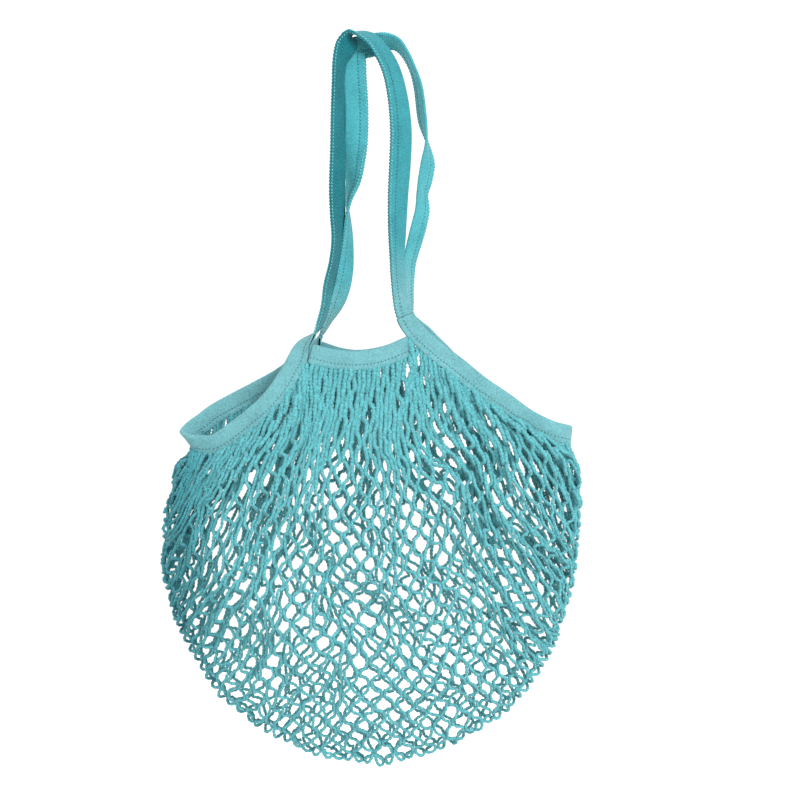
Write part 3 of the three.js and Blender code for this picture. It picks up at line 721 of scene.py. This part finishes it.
settling = {
    "steps": 150,
    "stir": 1.8,              # how unevenly the joints start
    "stirRows": 9,
    "leastStir": 0.4,
    "edgeHold": 0.25,         # how firmly a joint keeps to its guide, at the outline and elsewhere
    "guideHold": 0.035,
    "pull": 0.25,             # the part of its error that a bar mends at each end, too long and too short
    "push": 0.14,
    "haste": 1.7,
}
strandLie = {
    "evenRows": 8,            # below a binding, where the strands hang evenly instead of in pairs
    "evenOffset": (1, 2),
    "leastStir": 0.75,
    "lean": 0.35,
    "jointRoom": 0.3,         # a joint takes no more than this share of the way to the next one
    "leastStep": 0.2,
}
edgeLace = {
    "from": 2,                # half columns in from the mouth's corners
    "bagMiddle": -480.0,
    "reach": (0.5, 2.5),      # past the outline
    "leastDepth": 2.4,
    "shoulder": 0.65,         # how far out the loop's sides are, and how far they spread
    "spread": 0.1,
}
halfColumns = 2 * (net["leftColumns"] + net["centreColumns"] + net["rightColumns"])


def sheetParity(side):
    # the back sheet's joints stand one half column off the front's, and the edge strand takes them in turn
    return 0 if side < 0 else 1


# The way of chosen columns from their binding to the bag's outline, at a quarter, a half and three quarters
# of it and at its end. Across is a share of halfWidth, down a share of netDrop below the mouth's top.
columnPaths = [
    # column, then across and down four times
    (0, -0.87, 0.27, -0.89, 0.29, -0.91, 0.31, -0.93, 0.33),
    (3, -0.81, 0.3, -0.87, 0.35, -0.93, 0.4, -0.97, 0.44),
    (6, -0.7, 0.3, -0.8, 0.37, -0.89, 0.46, -0.97, 0.56),
    (9, -0.59, 0.27, -0.75, 0.37, -0.83, 0.51, -0.92, 0.65),
    (11, -0.5, 0.24, -0.63, 0.37, -0.75, 0.54, -0.85, 0.72),
    (13, -0.41, 0.21, -0.5, 0.35, -0.65, 0.57, -0.74, 0.81),
    (14, -0.38, 0.19, -0.45, 0.35, -0.58, 0.59, -0.68, 0.85),
    (16, -0.31, 0.18, -0.39, 0.34, -0.46, 0.61, -0.49, 0.92),
    (18, -0.23, 0.19, -0.33, 0.36, -0.35, 0.63, -0.31, 0.96),
    (19, -0.18, 0.2, -0.27, 0.37, -0.26, 0.65, -0.21, 0.98),
    (22, -0.04, 0.2, -0.03, 0.41, 0.01, 0.69, 0.09, 1),
    (25, 0.11, 0.2, 0.18, 0.4, 0.28, 0.68, 0.39, 0.96),
    (28, 0.24, 0.17, 0.35, 0.35, 0.51, 0.61, 0.66, 0.88),
    (30, 0.31, 0.17, 0.46, 0.32, 0.62, 0.57, 0.78, 0.82),
    (31, 0.39, 0.17, 0.53, 0.32, 0.67, 0.54, 0.83, 0.78),
    (33, 0.48, 0.18, 0.59, 0.32, 0.74, 0.51, 0.9, 0.72),
    (34, 0.53, 0.18, 0.62, 0.32, 0.78, 0.49, 0.92, 0.69),
    (36, 0.63, 0.2, 0.72, 0.32, 0.86, 0.47, 0.97, 0.62),
    (38, 0.75, 0.22, 0.84, 0.32, 0.92, 0.43, 1, 0.55),
    (41, 0.87, 0.25, 0.94, 0.31, 0.98, 0.38, 1.02, 0.46),
    (44, 0.95, 0.26, 0.99, 0.3, 1.01, 0.34, 1.03, 0.39),
    (46, 1, 0.27, 1.01, 0.29, 1.01, 0.31, 1.01, 0.34),
]
# The outline from its widest places down to the lowest: across at the left, across at the right, down.
outlineSections = [
    (-0.905, 0.985, 0.28),
    (-0.96, 1.0, 0.39),
    (-0.97, 1.0, 0.52),
    (-0.945, 0.99, 0.65),
    (-0.82, 0.89, 0.79),
    (-0.58, 0.66, 0.9),
    (-0.3, 0.35, 0.98),
    (0.02, 0.03, 1.0),
]


def attachPlaces(side):
    # places on the tapes where the half columns hang, with the way out of the open edge
    left = 2 * net["leftColumns"]
    centre = 2 * net["centreColumns"]
    right = 2 * net["rightColumns"]
    leftMargin, rightMargin = hanging["leftMargin"] / loopCount, hanging["rightMargin"] / loopCount
    leftEnd, centrePath, rightEnd = rootBackLeft, backCentre, rootBackRight
    if side < 0:
        leftEnd, centrePath, rightEnd = 1, frontCentre, rootFrontRight
    parts = [
        tapeLoop.evenly(leftCorner, leftEnd + side * leftMargin, count=left),
        centrePath.evenly(hanging["centreFrom"], hanging["centreTo"], count=centre - 2),
        tapeLoop.evenly(rightEnd - side * rightMargin, rightCorner, count=right),
    ]
    return {key: np.concatenate([part[key] for part in parts]) for key in ("at", "across")}


def guideLines(side, rng):
    # the line of every half column from its binding to the outline
    tops = attachPlaces(side)
    start = tops["at"] + tops["across"] * (bag["bindingWidth"] / 2)
    inside = tops["at"] + tops["across"] * (bag["bindingWidth"] / 2 - net["tuck"])
    table = np.array(columnPaths, float)
    columns = np.arange(halfColumns + 1) / 2
    knots = np.stack([np.interp(columns, table[:, 0], table[:, k]) for k in range(1, table.shape[1])], axis=1)
    share = np.linspace(0, 1, guides["places"])
    lines = []
    for c in range(halfColumns + 1):
        xs = np.concatenate([[start[c, 0]], halfWidth * knots[c, 0::2]])
        zs = np.concatenate([[start[c, 2]], mouthTop - bag["netDrop"] * knots[c, 1::2]])
        lines.append(splineAt(np.stack([xs, 0 * xs, zs], axis=1), share, False))
    lines = np.array(lines)
    share = share[None, :]
    calm = np.clip(share * guides["crumpleRate"], 0, 1) ** 1.5
    calm = calm * np.clip((1 - share) * guides["calmRate"], 0, 1)
    turn = 2 * math.pi
    waves = [
        (rng.uniform(0, turn), rng.uniform(*guides["waveLengths"]), rng.uniform(0, turn), rng.integers(3))
        for _ in range(guides["waves"])
    ]
    shift = np.zeros_like(lines)
    for way, wave, phase, axis in waves:
        along = lines[..., 0] * math.cos(way) + lines[..., 2] * math.sin(way)
        shift[..., axis] += net["crumple"] * guides["waveShare"] * np.sin(turn * along / wave + phase)
    if side > 0:
        shift[..., 0] += guides["backSway"] * np.sin(lines[..., 2] / guides["backSwayLength"])
    lines = lines + shift * calm[..., None]
    settle = np.clip(share * guides["settleRate"], 0, 1)
    settle = settle * settle * (3 - 2 * settle)
    closing = np.sqrt(np.clip((1 - share) * guides["closeRate"], 0, 1))
    depth = start[:, 1][:, None] * (1 - settle) + domeDepth(side, lines[..., 0], lines[..., 2]) * settle
    lines[..., 1] = (depth + shift[..., 1] * calm) * closing
    return lines, start, inside


def domeDepth(side, x, z):
    # how far the sheet lies in front of the bag's middle plane where nothing is crumpled
    outline = np.array(outlineSections)
    down = (mouthTop - z) / bag["netDrop"]
    low = halfWidth * np.interp(down, outline[:, 2], outline[:, 0])
    high = halfWidth * np.interp(down, outline[:, 2], outline[:, 1])
    u = np.clip(np.abs(x - (low + high) / 2) / np.maximum((high - low) / 2, 1), 0, 1)
    rise = np.clip(down / dome["fullest"], 0, 1)
    fall = np.clip((down - dome["fullest"]) / (1 - dome["fullest"]), 0, 1)
    swell = rise * (2 - rise) * np.sqrt(1 - fall * fall)
    return side * np.sqrt(1 - u ** dome["roundness"]) * swell * bag["bagDepth"] / 2


def rowPlaces(lines):
    # the number of each place in half rows of meshes, from how far the net is pulled open there
    bar = net["barLength"]
    wide = np.zeros(lines.shape[:2])
    wide[1:-1] = np.linalg.norm(lines[2:, :, [0, 2]] - lines[:-2, :, [0, 2]], axis=2)
    wide[0], wide[-1] = wide[1], wide[-2]
    wide = np.clip(wide / 2, 0, bar * meshRows["widestBar"])
    high = np.sqrt(bar * bar - wide * wide)
    step = np.linalg.norm(np.diff(lines, axis=1), axis=2) / high[:, 1:]
    return np.concatenate([np.zeros((len(lines), 1)), np.cumsum(step, axis=1)], axis=1)


def lastRows(rows, side):
    # the last half row of every half column, never more than one away from its neighbour's
    parity = (np.arange(len(rows)) + sheetParity(side)) % 2
    width = meshRows["smoothing"]
    padded = np.pad(rows[:, -1], width // 2, mode="edge")
    ends = np.convolve(padded, np.ones(width) / width, mode="valid") - meshRows["endMargin"]
    last = (2 * np.round((ends - parity) / 2) + parity).astype(int)
    for _ in range(3):
        for c in range(1, len(last)):
            if last[c] - last[c - 1] > 1:
                last[c] = last[c - 1] + 1
            elif last[c - 1] - last[c] > 1:
                last[c - 1] = last[c] + 1
    return last


def columnJoints(side, c, lines, rows, wide, last):
    # the joints of one half column, spread over its guide and folded to and fro where the columns crowd
    beyond = sum(1 for d in (-1, 1) if 0 <= c + d <= halfColumns and last[c + d] > last[c])
    scale = (rows[c, -1] - meshRows["edgeInset"] - meshRows["beyondInset"] * beyond) / last[c]
    for j in range((c + sheetParity(side)) % 2, last[c] + 1, 2):
        place = np.array([np.interp(j * scale, rows[c], lines[c, :, k]) for k in range(3)])
        pitch = np.interp(j * scale, rows[c], wide[c])
        crowd = np.clip((pleats["pitch"] - pitch) / pleats["range"], 0, 1) * min(j / pleats["rows"], 1)
        turn = c * pleats["columnTurn"] + pleats["rowTurn"] * j * side + side
        place[1] += net["pleatDepth"] * crowd * math.sin(turn)
        yield j, place


def settleNet(position, fixed, hold, level, bars, rng):
    # every bar pulls or pushes its two joints until it has its length, and each joint keeps near its guide
    guide = position.copy()
    stir = np.clip(level / settling["stirRows"], settling["leastStir"], 1)[:, None]
    position[~fixed] += (stir * rng.normal(0, settling["stir"], position.shape))[~fixed]
    rest = net["barLength"] * (1 + rng.uniform(-net["barUneven"], net["barUneven"], len(bars)))
    rest = np.where(fixed[bars[:, 0]], rest + net["tuck"], rest)
    a, b = bars[:, 0], bars[:, 1]
    count = np.zeros(len(position))
    np.add.at(count, a, 1)
    np.add.at(count, b, 1)
    for _ in range(settling["steps"]):
        gap = position[b] - position[a]
        length = np.linalg.norm(gap, axis=1)
        error = (length - rest) / np.maximum(length, 1e-6)
        push = gap * (np.where(error > 0, settling["pull"], settling["push"]) * error)[:, None]
        move = np.zeros_like(position)
        np.add.at(move, a, push)
        np.add.at(move, b, -push)
        move *= settling["haste"] / np.maximum(count, 1)[:, None]
        move += hold[:, None] * (guide - position)
        position[~fixed] += move[~fixed]
    return position


def makeNet(rng):
    # the joints of both sheets by side, half column and half row, and where each sheet ends
    ids, ends, edges = {}, {}, {}
    position, fixed, hold = [], [], []
    for side in (-1, 1):
        lines, start, inside = guideLines(side, rng)
        rows = rowPlaces(lines)
        last = lastRows(rows, side)
        ends[side], edges[side] = last, lines[:, -1]
        wide = np.linalg.norm(np.gradient(lines, axis=0), axis=2) * 2
        for c in range(halfColumns + 1):
            for j, place in columnJoints(side, c, lines, rows, wide, last):
                ids[(side, c, j)] = len(position)
                position.append(inside[c] if j == 0 else place)
                fixed.append(j == 0)
                hold.append(settling["edgeHold"] if j == last[c] else settling["guideHold"])
    bars = set()
    for (side, c, j), here in ids.items():
        for d in (-1, 1):
            if (side, c + d, j + 1) in ids:
                bars.add((here, ids[(side, c + d, j + 1)]))
    level = np.array([j for _, _, j in ids])
    position = settleNet(
        np.array(position, float), np.array(fixed), np.array(hold), level, np.array(sorted(bars)), rng
    )
    return {"position": position, "ids": ids, "ends": ends, "edges": edges}


def strandPoints(side, k, made, rng):
    # one strand on one side of the bag: a zigzag between two neighbouring half columns
    position, ids, ends = made["position"], made["ids"], made["ends"]
    row = []
    lastJoint = max(ends[side][k], ends[side][k + 1])
    for j in range(lastJoint + 1):
        c = k if (k + j + sheetParity(side)) % 2 == 0 else k + 1
        if (side, c, j) not in ids:
            continue
        here = position[ids[(side, c, j)]]
        near = []
        for step in (-1, 1):
            keys = [(side, c + d, j + step) for d in (-1, 1)]
            found = [position[ids[key]] for key in keys if key in ids]
            near.append(np.mean(found, axis=0) if found else here)
        up, down = near
        room = min([np.linalg.norm(place - here) for place in near if place is not here], default=math.inf)
        half = min(net["jointLength"] / 2, strandLie["jointRoom"] * room)
        way = (down - up) / (np.linalg.norm(down - up) + tiny)
        low, high = (position[ids[(side, c + d, j)]] if (side, c + d, j) in ids else here for d in (-2, 2))
        across = high - low
        pitch = np.linalg.norm(across) / 2
        even = np.clip(1 - j / strandLie["evenRows"], 0, 1)
        offset = net["cordThickness"] / 2 * (1 - even) + np.clip(pitch / 4, *strandLie["evenOffset"]) * even
        stir = np.clip(j / strandLie["evenRows"], strandLie["leastStir"], 1)
        if not across.any():
            across = np.array([1.0, 0, 0])
        across = across - way * np.dot(across, way)
        across = across / (np.linalg.norm(across) + tiny)
        centre = here + across * (offset if c == k else -offset)
        lean = across * rng.normal(0, strandLie["lean"]) * stir
        if row:
            row.append((row[-1] + centre - way * half) / 2 + rng.normal(0, net["slack"], 3) * stir)
        if j > 0:
            row.append(centre - way * half - lean)
        row.append(centre)
        if 0 < j < lastJoint:
            row.append(centre + way * half + lean)
    return evenPoints(row)


def edgeLoops(made, rng):
    # the strand that passes from the front to the back in small loops all along the outline
    position, ids, ends, edges = made["position"], made["ids"], made["ends"], made["edges"]
    middle = (edges[-1] + edges[1]) / 2
    along = unit(np.gradient(middle, axis=0) * [1, 0, 1])
    out = np.stack([along[:, 2], 0 * along[:, 0], -along[:, 0]], axis=1)
    fromMiddle = middle - np.array([0, 0, edgeLace["bagMiddle"]])
    out = out * np.sign(np.sum(out * fromMiddle, axis=1, keepdims=True))
    rise = edgeLace["shoulder"]
    row = []
    side = 1
    for c in range(edgeLace["from"], halfColumns + 1 - edgeLace["from"]):
        # it takes the sheet whose joint reaches further out than its neighbours, or else the sheets in turn
        reach = {s: 2 * ends[s][c] - ends[s][c - 1] - ends[s][c + 1] for s in (-1, 1)}
        side = -side if reach[-1] == reach[1] else max((-1, 1), key=reach.get)
        joint = position[ids[(side, c, ends[side][c])]]
        if row:
            before = row[-1]
            way = unit(out[c] + out[c - 1])
            turn = (middle[c] + middle[c - 1]) / 2 + way * rng.uniform(*edgeLace["reach"])
            between = (joint + before) / 2
            turn = between + way * max(np.dot(turn - between, way), edgeLace["leastDepth"])
            spread = (joint - before) * edgeLace["spread"]
            row.append(before * (1 - rise) + turn * rise - spread)
            row.append(turn)
            row.append(joint * (1 - rise) + turn * rise + spread)
        row.append(joint)
    return evenPoints(row)


def evenPoints(row):
    # a smooth line through the points, cut into short even steps
    whole = np.array(row)
    length = np.concatenate([[0], np.cumsum(np.linalg.norm(np.diff(whole, axis=0), axis=1))])
    keep = np.concatenate([[True], np.diff(length) > strandLie["leastStep"]])
    whole, length = whole[keep], length[keep]
    count = max(int(length[-1] / net["pointSpacing"]), 3)
    shares = np.interp(np.linspace(0, length[-1], count), length, np.linspace(0, 1, len(whole)))
    return splineAt(whole, shares, False)


netRandom = np.random.default_rng(net["seed"])
netMade = makeNet(netRandom)
strandRows = [strandPoints(side, k, netMade, netRandom) for k in range(halfColumns) for side in (-1, 1)]
loopsRow = edgeLoops(netMade, netRandom)
print("net laid out,", len(netMade["position"]), "joints,", sum(len(row) for row in strandRows), "points")


# Geometry Nodes
def newTree(name, inputs):
    tree = bpy.data.node_groups.new(name, "GeometryNodeTree")
    tree.interface.new_socket("Geometry", in_out="INPUT", socket_type="NodeSocketGeometry")
    for label, kind, value in inputs:
        socket = tree.interface.new_socket(label, in_out="INPUT", socket_type=kind)
        if value is not None:
            socket.default_value = value
    tree.interface.new_socket("Geometry", in_out="OUTPUT", socket_type="NodeSocketGeometry")
    return tree


def finishTree(tree, given, shaded):
    # every tree ends as plain faces with the material that it was given
    real = addNode(tree, "GeometryNodeRealizeInstances", links={0: shaded.outputs[0]})
    painted = addNode(
        tree, "GeometryNodeSetMaterial",
        links={"Geometry": real.outputs[0], "Material": given.outputs["Material"]},
    )
    addNode(tree, "NodeGroupOutput", links={0: painted.outputs[0]})


def strandTree():
    # a tube along every strand, swelling and shrinking a little like knitted cord, bulkier in the gathers
    tree = newTree("cordAlongStrands", [
        ("Thickness", "NodeSocketFloat", 0.003), ("Pebble Depth", "NodeSocketFloat", 0.26),
        ("Gathered Bulk", "NodeSocketFloat", 1.6), ("Bulk From", "NodeSocketFloat", -0.43),
        ("Bulk To", "NodeSocketFloat", -0.34), ("Sides", "NodeSocketInt", 6), ("Seed", "NodeSocketInt", 0),
        ("Material", "NodeSocketMaterial", None),
    ])
    given = addNode(tree, "NodeGroupInput")
    curve = addNode(tree, "GeometryNodeMeshToCurve", links={0: given.outputs["Geometry"]})
    index = addNode(tree, "GeometryNodeInputIndex")
    odd = addNode(tree, "ShaderNodeMath", {"operation": "MODULO", 1: 2.0}, {0: index.outputs[0]})
    swing = addNode(
        tree, "ShaderNodeMath", {"operation": "MULTIPLY_ADD", 1: 2.0, 2: -1.0}, {0: odd.outputs[0]}
    )
    uneven = addNode(
        tree, "FunctionNodeRandomValue",
        {"data_type": "FLOAT", 2: 0.3, 3: 1.0}, {"Seed": given.outputs["Seed"]},
    )
    part = addNode(
        tree, "ShaderNodeMath", {"operation": "MULTIPLY"}, {0: swing.outputs[0], 1: uneven.outputs[1]}
    )
    grow = addNode(
        tree, "ShaderNodeMath", {"operation": "MULTIPLY_ADD", 2: 1.0},
        {0: part.outputs[0], 1: given.outputs["Pebble Depth"]},
    )
    half = addNode(tree, "ShaderNodeMath", {"operation": "MULTIPLY", 1: 0.5}, {0: given.outputs["Thickness"]})
    radius = addNode(
        tree, "ShaderNodeMath", {"operation": "MULTIPLY"}, {0: grow.outputs[0], 1: half.outputs[0]}
    )
    place = addNode(tree, "GeometryNodeInputPosition")
    parts = addNode(tree, "ShaderNodeSeparateXYZ", links={0: place.outputs[0]})
    bulk = addNode(tree, "ShaderNodeMapRange", {3: 1.0}, {
        0: parts.outputs[2], 1: given.outputs["Bulk From"], 2: given.outputs["Bulk To"],
        4: given.outputs["Gathered Bulk"],
    })
    full = addNode(
        tree, "ShaderNodeMath", {"operation": "MULTIPLY"}, {0: radius.outputs[0], 1: bulk.outputs[0]}
    )
    sized = addNode(
        tree, "GeometryNodeSetCurveRadius", links={"Curve": curve.outputs[0], "Radius": full.outputs[0]}
    )
    radiusNow = addNode(tree, "GeometryNodeInputRadius")
    ring = addNode(
        tree, "GeometryNodeCurvePrimitiveCircle", {"Radius": 1.0}, {"Resolution": given.outputs["Sides"]}
    )
    tube = addNode(tree, "GeometryNodeCurveToMesh", {"Fill Caps": True}, {
        "Curve": sized.outputs[0], "Profile Curve": ring.outputs[0], "Scale": radiusNow.outputs[0],
    })
    shaded = addNode(tree, "GeometryNodeSetShadeSmooth", links={0: tube.outputs[0]})
    finishTree(tree, given, shaded)
    return tree


def stitchTree():
    # a small rounded stitch every so far along a row, lying along it and facing out of the tape
    tree = newTree("stitchesAlongRow", [
        ("Spacing", "NodeSocketFloat", 0.0032), ("Stitch Length", "NodeSocketFloat", 0.0022),
        ("Stitch Thickness", "NodeSocketFloat", 0.0008), ("Slant", "NodeSocketFloat", 0.4),
        ("Material", "NodeSocketMaterial", None),
    ])
    given = addNode(tree, "NodeGroupInput")
    curve = addNode(tree, "GeometryNodeMeshToCurve", links={0: given.outputs["Geometry"]})
    places = addNode(
        tree, "GeometryNodeResampleCurve", {"mode": "LENGTH"},
        {"Curve": curve.outputs[0], "Length": given.outputs["Spacing"]},
    )
    bead = addNode(tree, "GeometryNodeMeshUVSphere", {"Segments": 6, "Rings": 4, "Radius": 0.5})
    size = addNode(tree, "ShaderNodeCombineXYZ", links={
        0: given.outputs["Stitch Length"], 1: given.outputs["Stitch Thickness"],
        2: given.outputs["Stitch Thickness"],
    })
    scaled = addNode(
        tree, "GeometryNodeTransform", links={"Geometry": bead.outputs[0], "Scale": size.outputs[0]}
    )
    faceWay = addNode(
        tree, "GeometryNodeInputNamedAttribute", {"data_type": "FLOAT_VECTOR", "Name": "faceWay"}
    )
    tangent = addNode(tree, "GeometryNodeInputTangent")
    facing = addNode(tree, "FunctionNodeAlignRotationToVector", {"axis": "Z"}, {"Vector": faceWay.outputs[0]})
    lying = addNode(
        tree, "FunctionNodeAlignRotationToVector", {"axis": "X", "pivot_axis": "Z"},
        {"Rotation": facing.outputs[0], "Vector": tangent.outputs[0]},
    )
    turn = addNode(tree, "ShaderNodeCombineXYZ", links={2: given.outputs["Slant"]})
    slanted = addNode(
        tree, "FunctionNodeRotateRotation",
        {"rotation_space": "LOCAL"}, {0: lying.outputs[0], 1: turn.outputs[0]},
    )
    placed = addNode(tree, "GeometryNodeInstanceOnPoints", links={
        "Points": places.outputs[0], "Instance": scaled.outputs[0], "Rotation": slanted.outputs[0],
    })
    shaded = addNode(tree, "GeometryNodeSetShadeSmooth", links={0: placed.outputs[0]})
    finishTree(tree, given, shaded)
    return tree


def growPiece(name, tree, polylines, inputs, facesAt=None):
    # polylines through a tree, taken over as a plain mesh
    points = np.concatenate(polylines)
    edges = []
    start = 0
    for line in polylines:
        edges += [(start + i, start + i + 1) for i in range(len(line) - 1)]
        start += len(line)
    mesh = bpy.data.meshes.new(name + "_rows")
    mesh.from_pydata((points * mm).tolist(), edges, [])
    if facesAt is not None:
        attribute = mesh.attributes.new("faceWay", "FLOAT_VECTOR", "POINT")
        attribute.data.foreach_set("vector", np.concatenate(facesAt).astype(float).ravel())
    rows = bpy.data.objects.new(name + "_rows", mesh)
    scene.collection.objects.link(rows)
    modifier = rows.modifiers.new("grow", "NODES")
    modifier.node_group = tree
    identifiers = {item.name: item.identifier for item in tree.interface.items_tree if item.in_out == "INPUT"}
    for label, value in inputs.items():
        modifier[identifiers[label]] = value
    bpy.context.view_layer.update()
    evaluated = rows.evaluated_get(bpy.context.evaluated_depsgraph_get())
    made = bpy.data.meshes.new_from_object(evaluated)
    made.name = name
    rows.modifiers.clear()
    bpy.data.objects.remove(rows)
    piece = bpy.data.objects.new(name, made)
    scene.collection.objects.link(piece)
    return piece


cord = {
    "pieces": 4,              # the net is cut into as many, so that none has too many faces
    "pebbleDepth": 0.26,
    "gatheredBulk": 1.6,      # how much thicker the cord looks where it is drawn together
    "bulkFrom": -430.0,       # the levels between which that comes in
    "bulkTo": -340.0,
    "sides": 6,
}
seamStitches = {"spacing": 3.2, "length": 2.2, "thickness": 0.8, "slant": 0.4, "height": 0.82}
edgeStitches = {"spacing": 3.0, "length": 2.8, "thickness": 1.1, "slant": 0.5, "height": 0.9, "inset": 2.4}

netCord = cordMaterial("knittedCottonCord", cordLook["netColour"])
edgeThread = cordMaterial("spunCottonThread", cordLook["edgeThreadColour"])
seamThreads = {
    "handle": cordMaterial("sunkHandleThread", cordLook["seamThreadColours"]["handle"]),
    "binding": cordMaterial("sunkBindingThread", cordLook["seamThreadColours"]["binding"]),
}

strands = strandTree()
netPieces = []
for g in range(cord["pieces"]):
    low, high = (n * len(strandRows) // cord["pieces"] for n in (g, g + 1))
    lines = strandRows[low:high] + ([loopsRow] if g == 0 else [])
    netPieces.append(growPiece("net_strands_" + str(g + 1), strands, lines, {
        "Thickness": net["cordThickness"] * mm, "Pebble Depth": cord["pebbleDepth"],
        "Gathered Bulk": cord["gatheredBulk"], "Bulk From": cord["bulkFrom"] * mm,
        "Bulk To": cord["bulkTo"] * mm, "Sides": cord["sides"], "Seed": g, "Material": netCord,
    }))
    print(netPieces[-1].name, len(netPieces[-1].data.polygons))

stitches = stitchTree()


def sewRows(name, frames, offset, thick, look, material):
    # a row of stitches on each face of a tape, offset from its middle towards the open edge
    lift = thick / 2 * look["height"]
    middle = frames["at"] + frames["across"] * offset[:, None]
    faces = [frames["face"] * way for way in (1, -1)]
    rows = [middle + face * lift for face in faces]
    return growPiece(name, stitches, rows, {
        "Spacing": look["spacing"] * mm, "Stitch Length": look["length"] * mm,
        "Stitch Thickness": look["thickness"] * mm, "Slant": look["slant"], "Material": material,
    }, faces)


stitchPieces = {}
for node, frames in tapeFrames.items():
    if "handle" in node:
        w = handleHalfWidth(frames["length"])
        thick = bag["handleThickness"]
        seam = w - handleTape["seamInset"]
        edge = w - edgeStitches["inset"]
        stitchPieces[node] = [
            sewRows(node + "_stitches", frames, seam, thick, seamStitches, seamThreads["handle"]),
            sewRows(node + "_edge_stitches", frames, edge, thick, edgeStitches, edgeThread),
        ]
    else:
        thick = bindingTape["thickness"]
        seam = np.full(len(frames["at"]), bindingSeam)
        stitchPieces[node] = [
            sewRows(node + "_stitches", frames, seam, thick, seamStitches, seamThreads["binding"]),
        ]
print("stitches made")

for node, piece in tapePieces.items():
    for made in [piece] + stitchPieces[node]:
        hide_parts(node)
        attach(made, "root")
        "handle_tape" if "handle" in node else "binding_tape"
for piece in netPieces:
    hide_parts("net_body")
    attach(piece, "root")

# Studio
studio = {
    "floorDrop": 130.0,
    "floorSize": 30000.0,
    "floorColour": "#F4F4F2",
    "floorRoughness": 0.9,
    "skyStrength": 1.12,
    "aim": (20, 0, -330),
    "lights": [
        # name, place, energy in watts, size
        ("keyLight", (1500, -2200, 1300), 78, 700),
        ("fillLight", (-2200, -1500, 500), 10, 1600),
        ("backLight", (-600, 2200, 1000), 20, 1600),
    ],
}


def makeStudio():
    scene.view_settings.view_transform = "Standard"
    world = bpy.data.worlds.new("studio")
    scene.world = world
    world.use_nodes = True
    sky = world.node_tree.nodes["Background"]
    sky.inputs[0].default_value = (1, 1, 1, 1)
    sky.inputs[1].default_value = studio["skyStrength"]
    # Matt paper, so pale that it runs into the sky behind it
    material, _, shader = newMaterial("paleStudioPaper")
    shader.inputs["Base Color"].default_value = hexColour(studio["floorColour"])
    shader.inputs["Roughness"].default_value = studio["floorRoughness"]
    size = studio["floorSize"] / 2
    level = cadLow.z / mm - studio["floorDrop"]
    corners = [(-size, -size, level), (size, -size, level), (size, size, level), (-size, size, level)]
    floor = makeObject("studioFloor", corners, [(0, 1, 2, 3)], material)
    floor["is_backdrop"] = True
    for name, place, energy, width in studio["lights"]:
        data = bpy.data.lights.new(name, "AREA")
        data.energy = energy
        data.size = width * mm
        lamp = bpy.data.objects.new(name, data)
        lamp.location = [c * mm for c in place]
        lamp.rotation_mode = "QUATERNION"
        lamp.rotation_quaternion = (Vector(studio["aim"]) - Vector(place)).to_track_quat("-Z", "Y")
        scene.collection.objects.link(lamp)


makeStudio()
low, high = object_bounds()
{"cad": [list(cadLow), list(cadHigh)], "visual": [list(low), list(high)]}
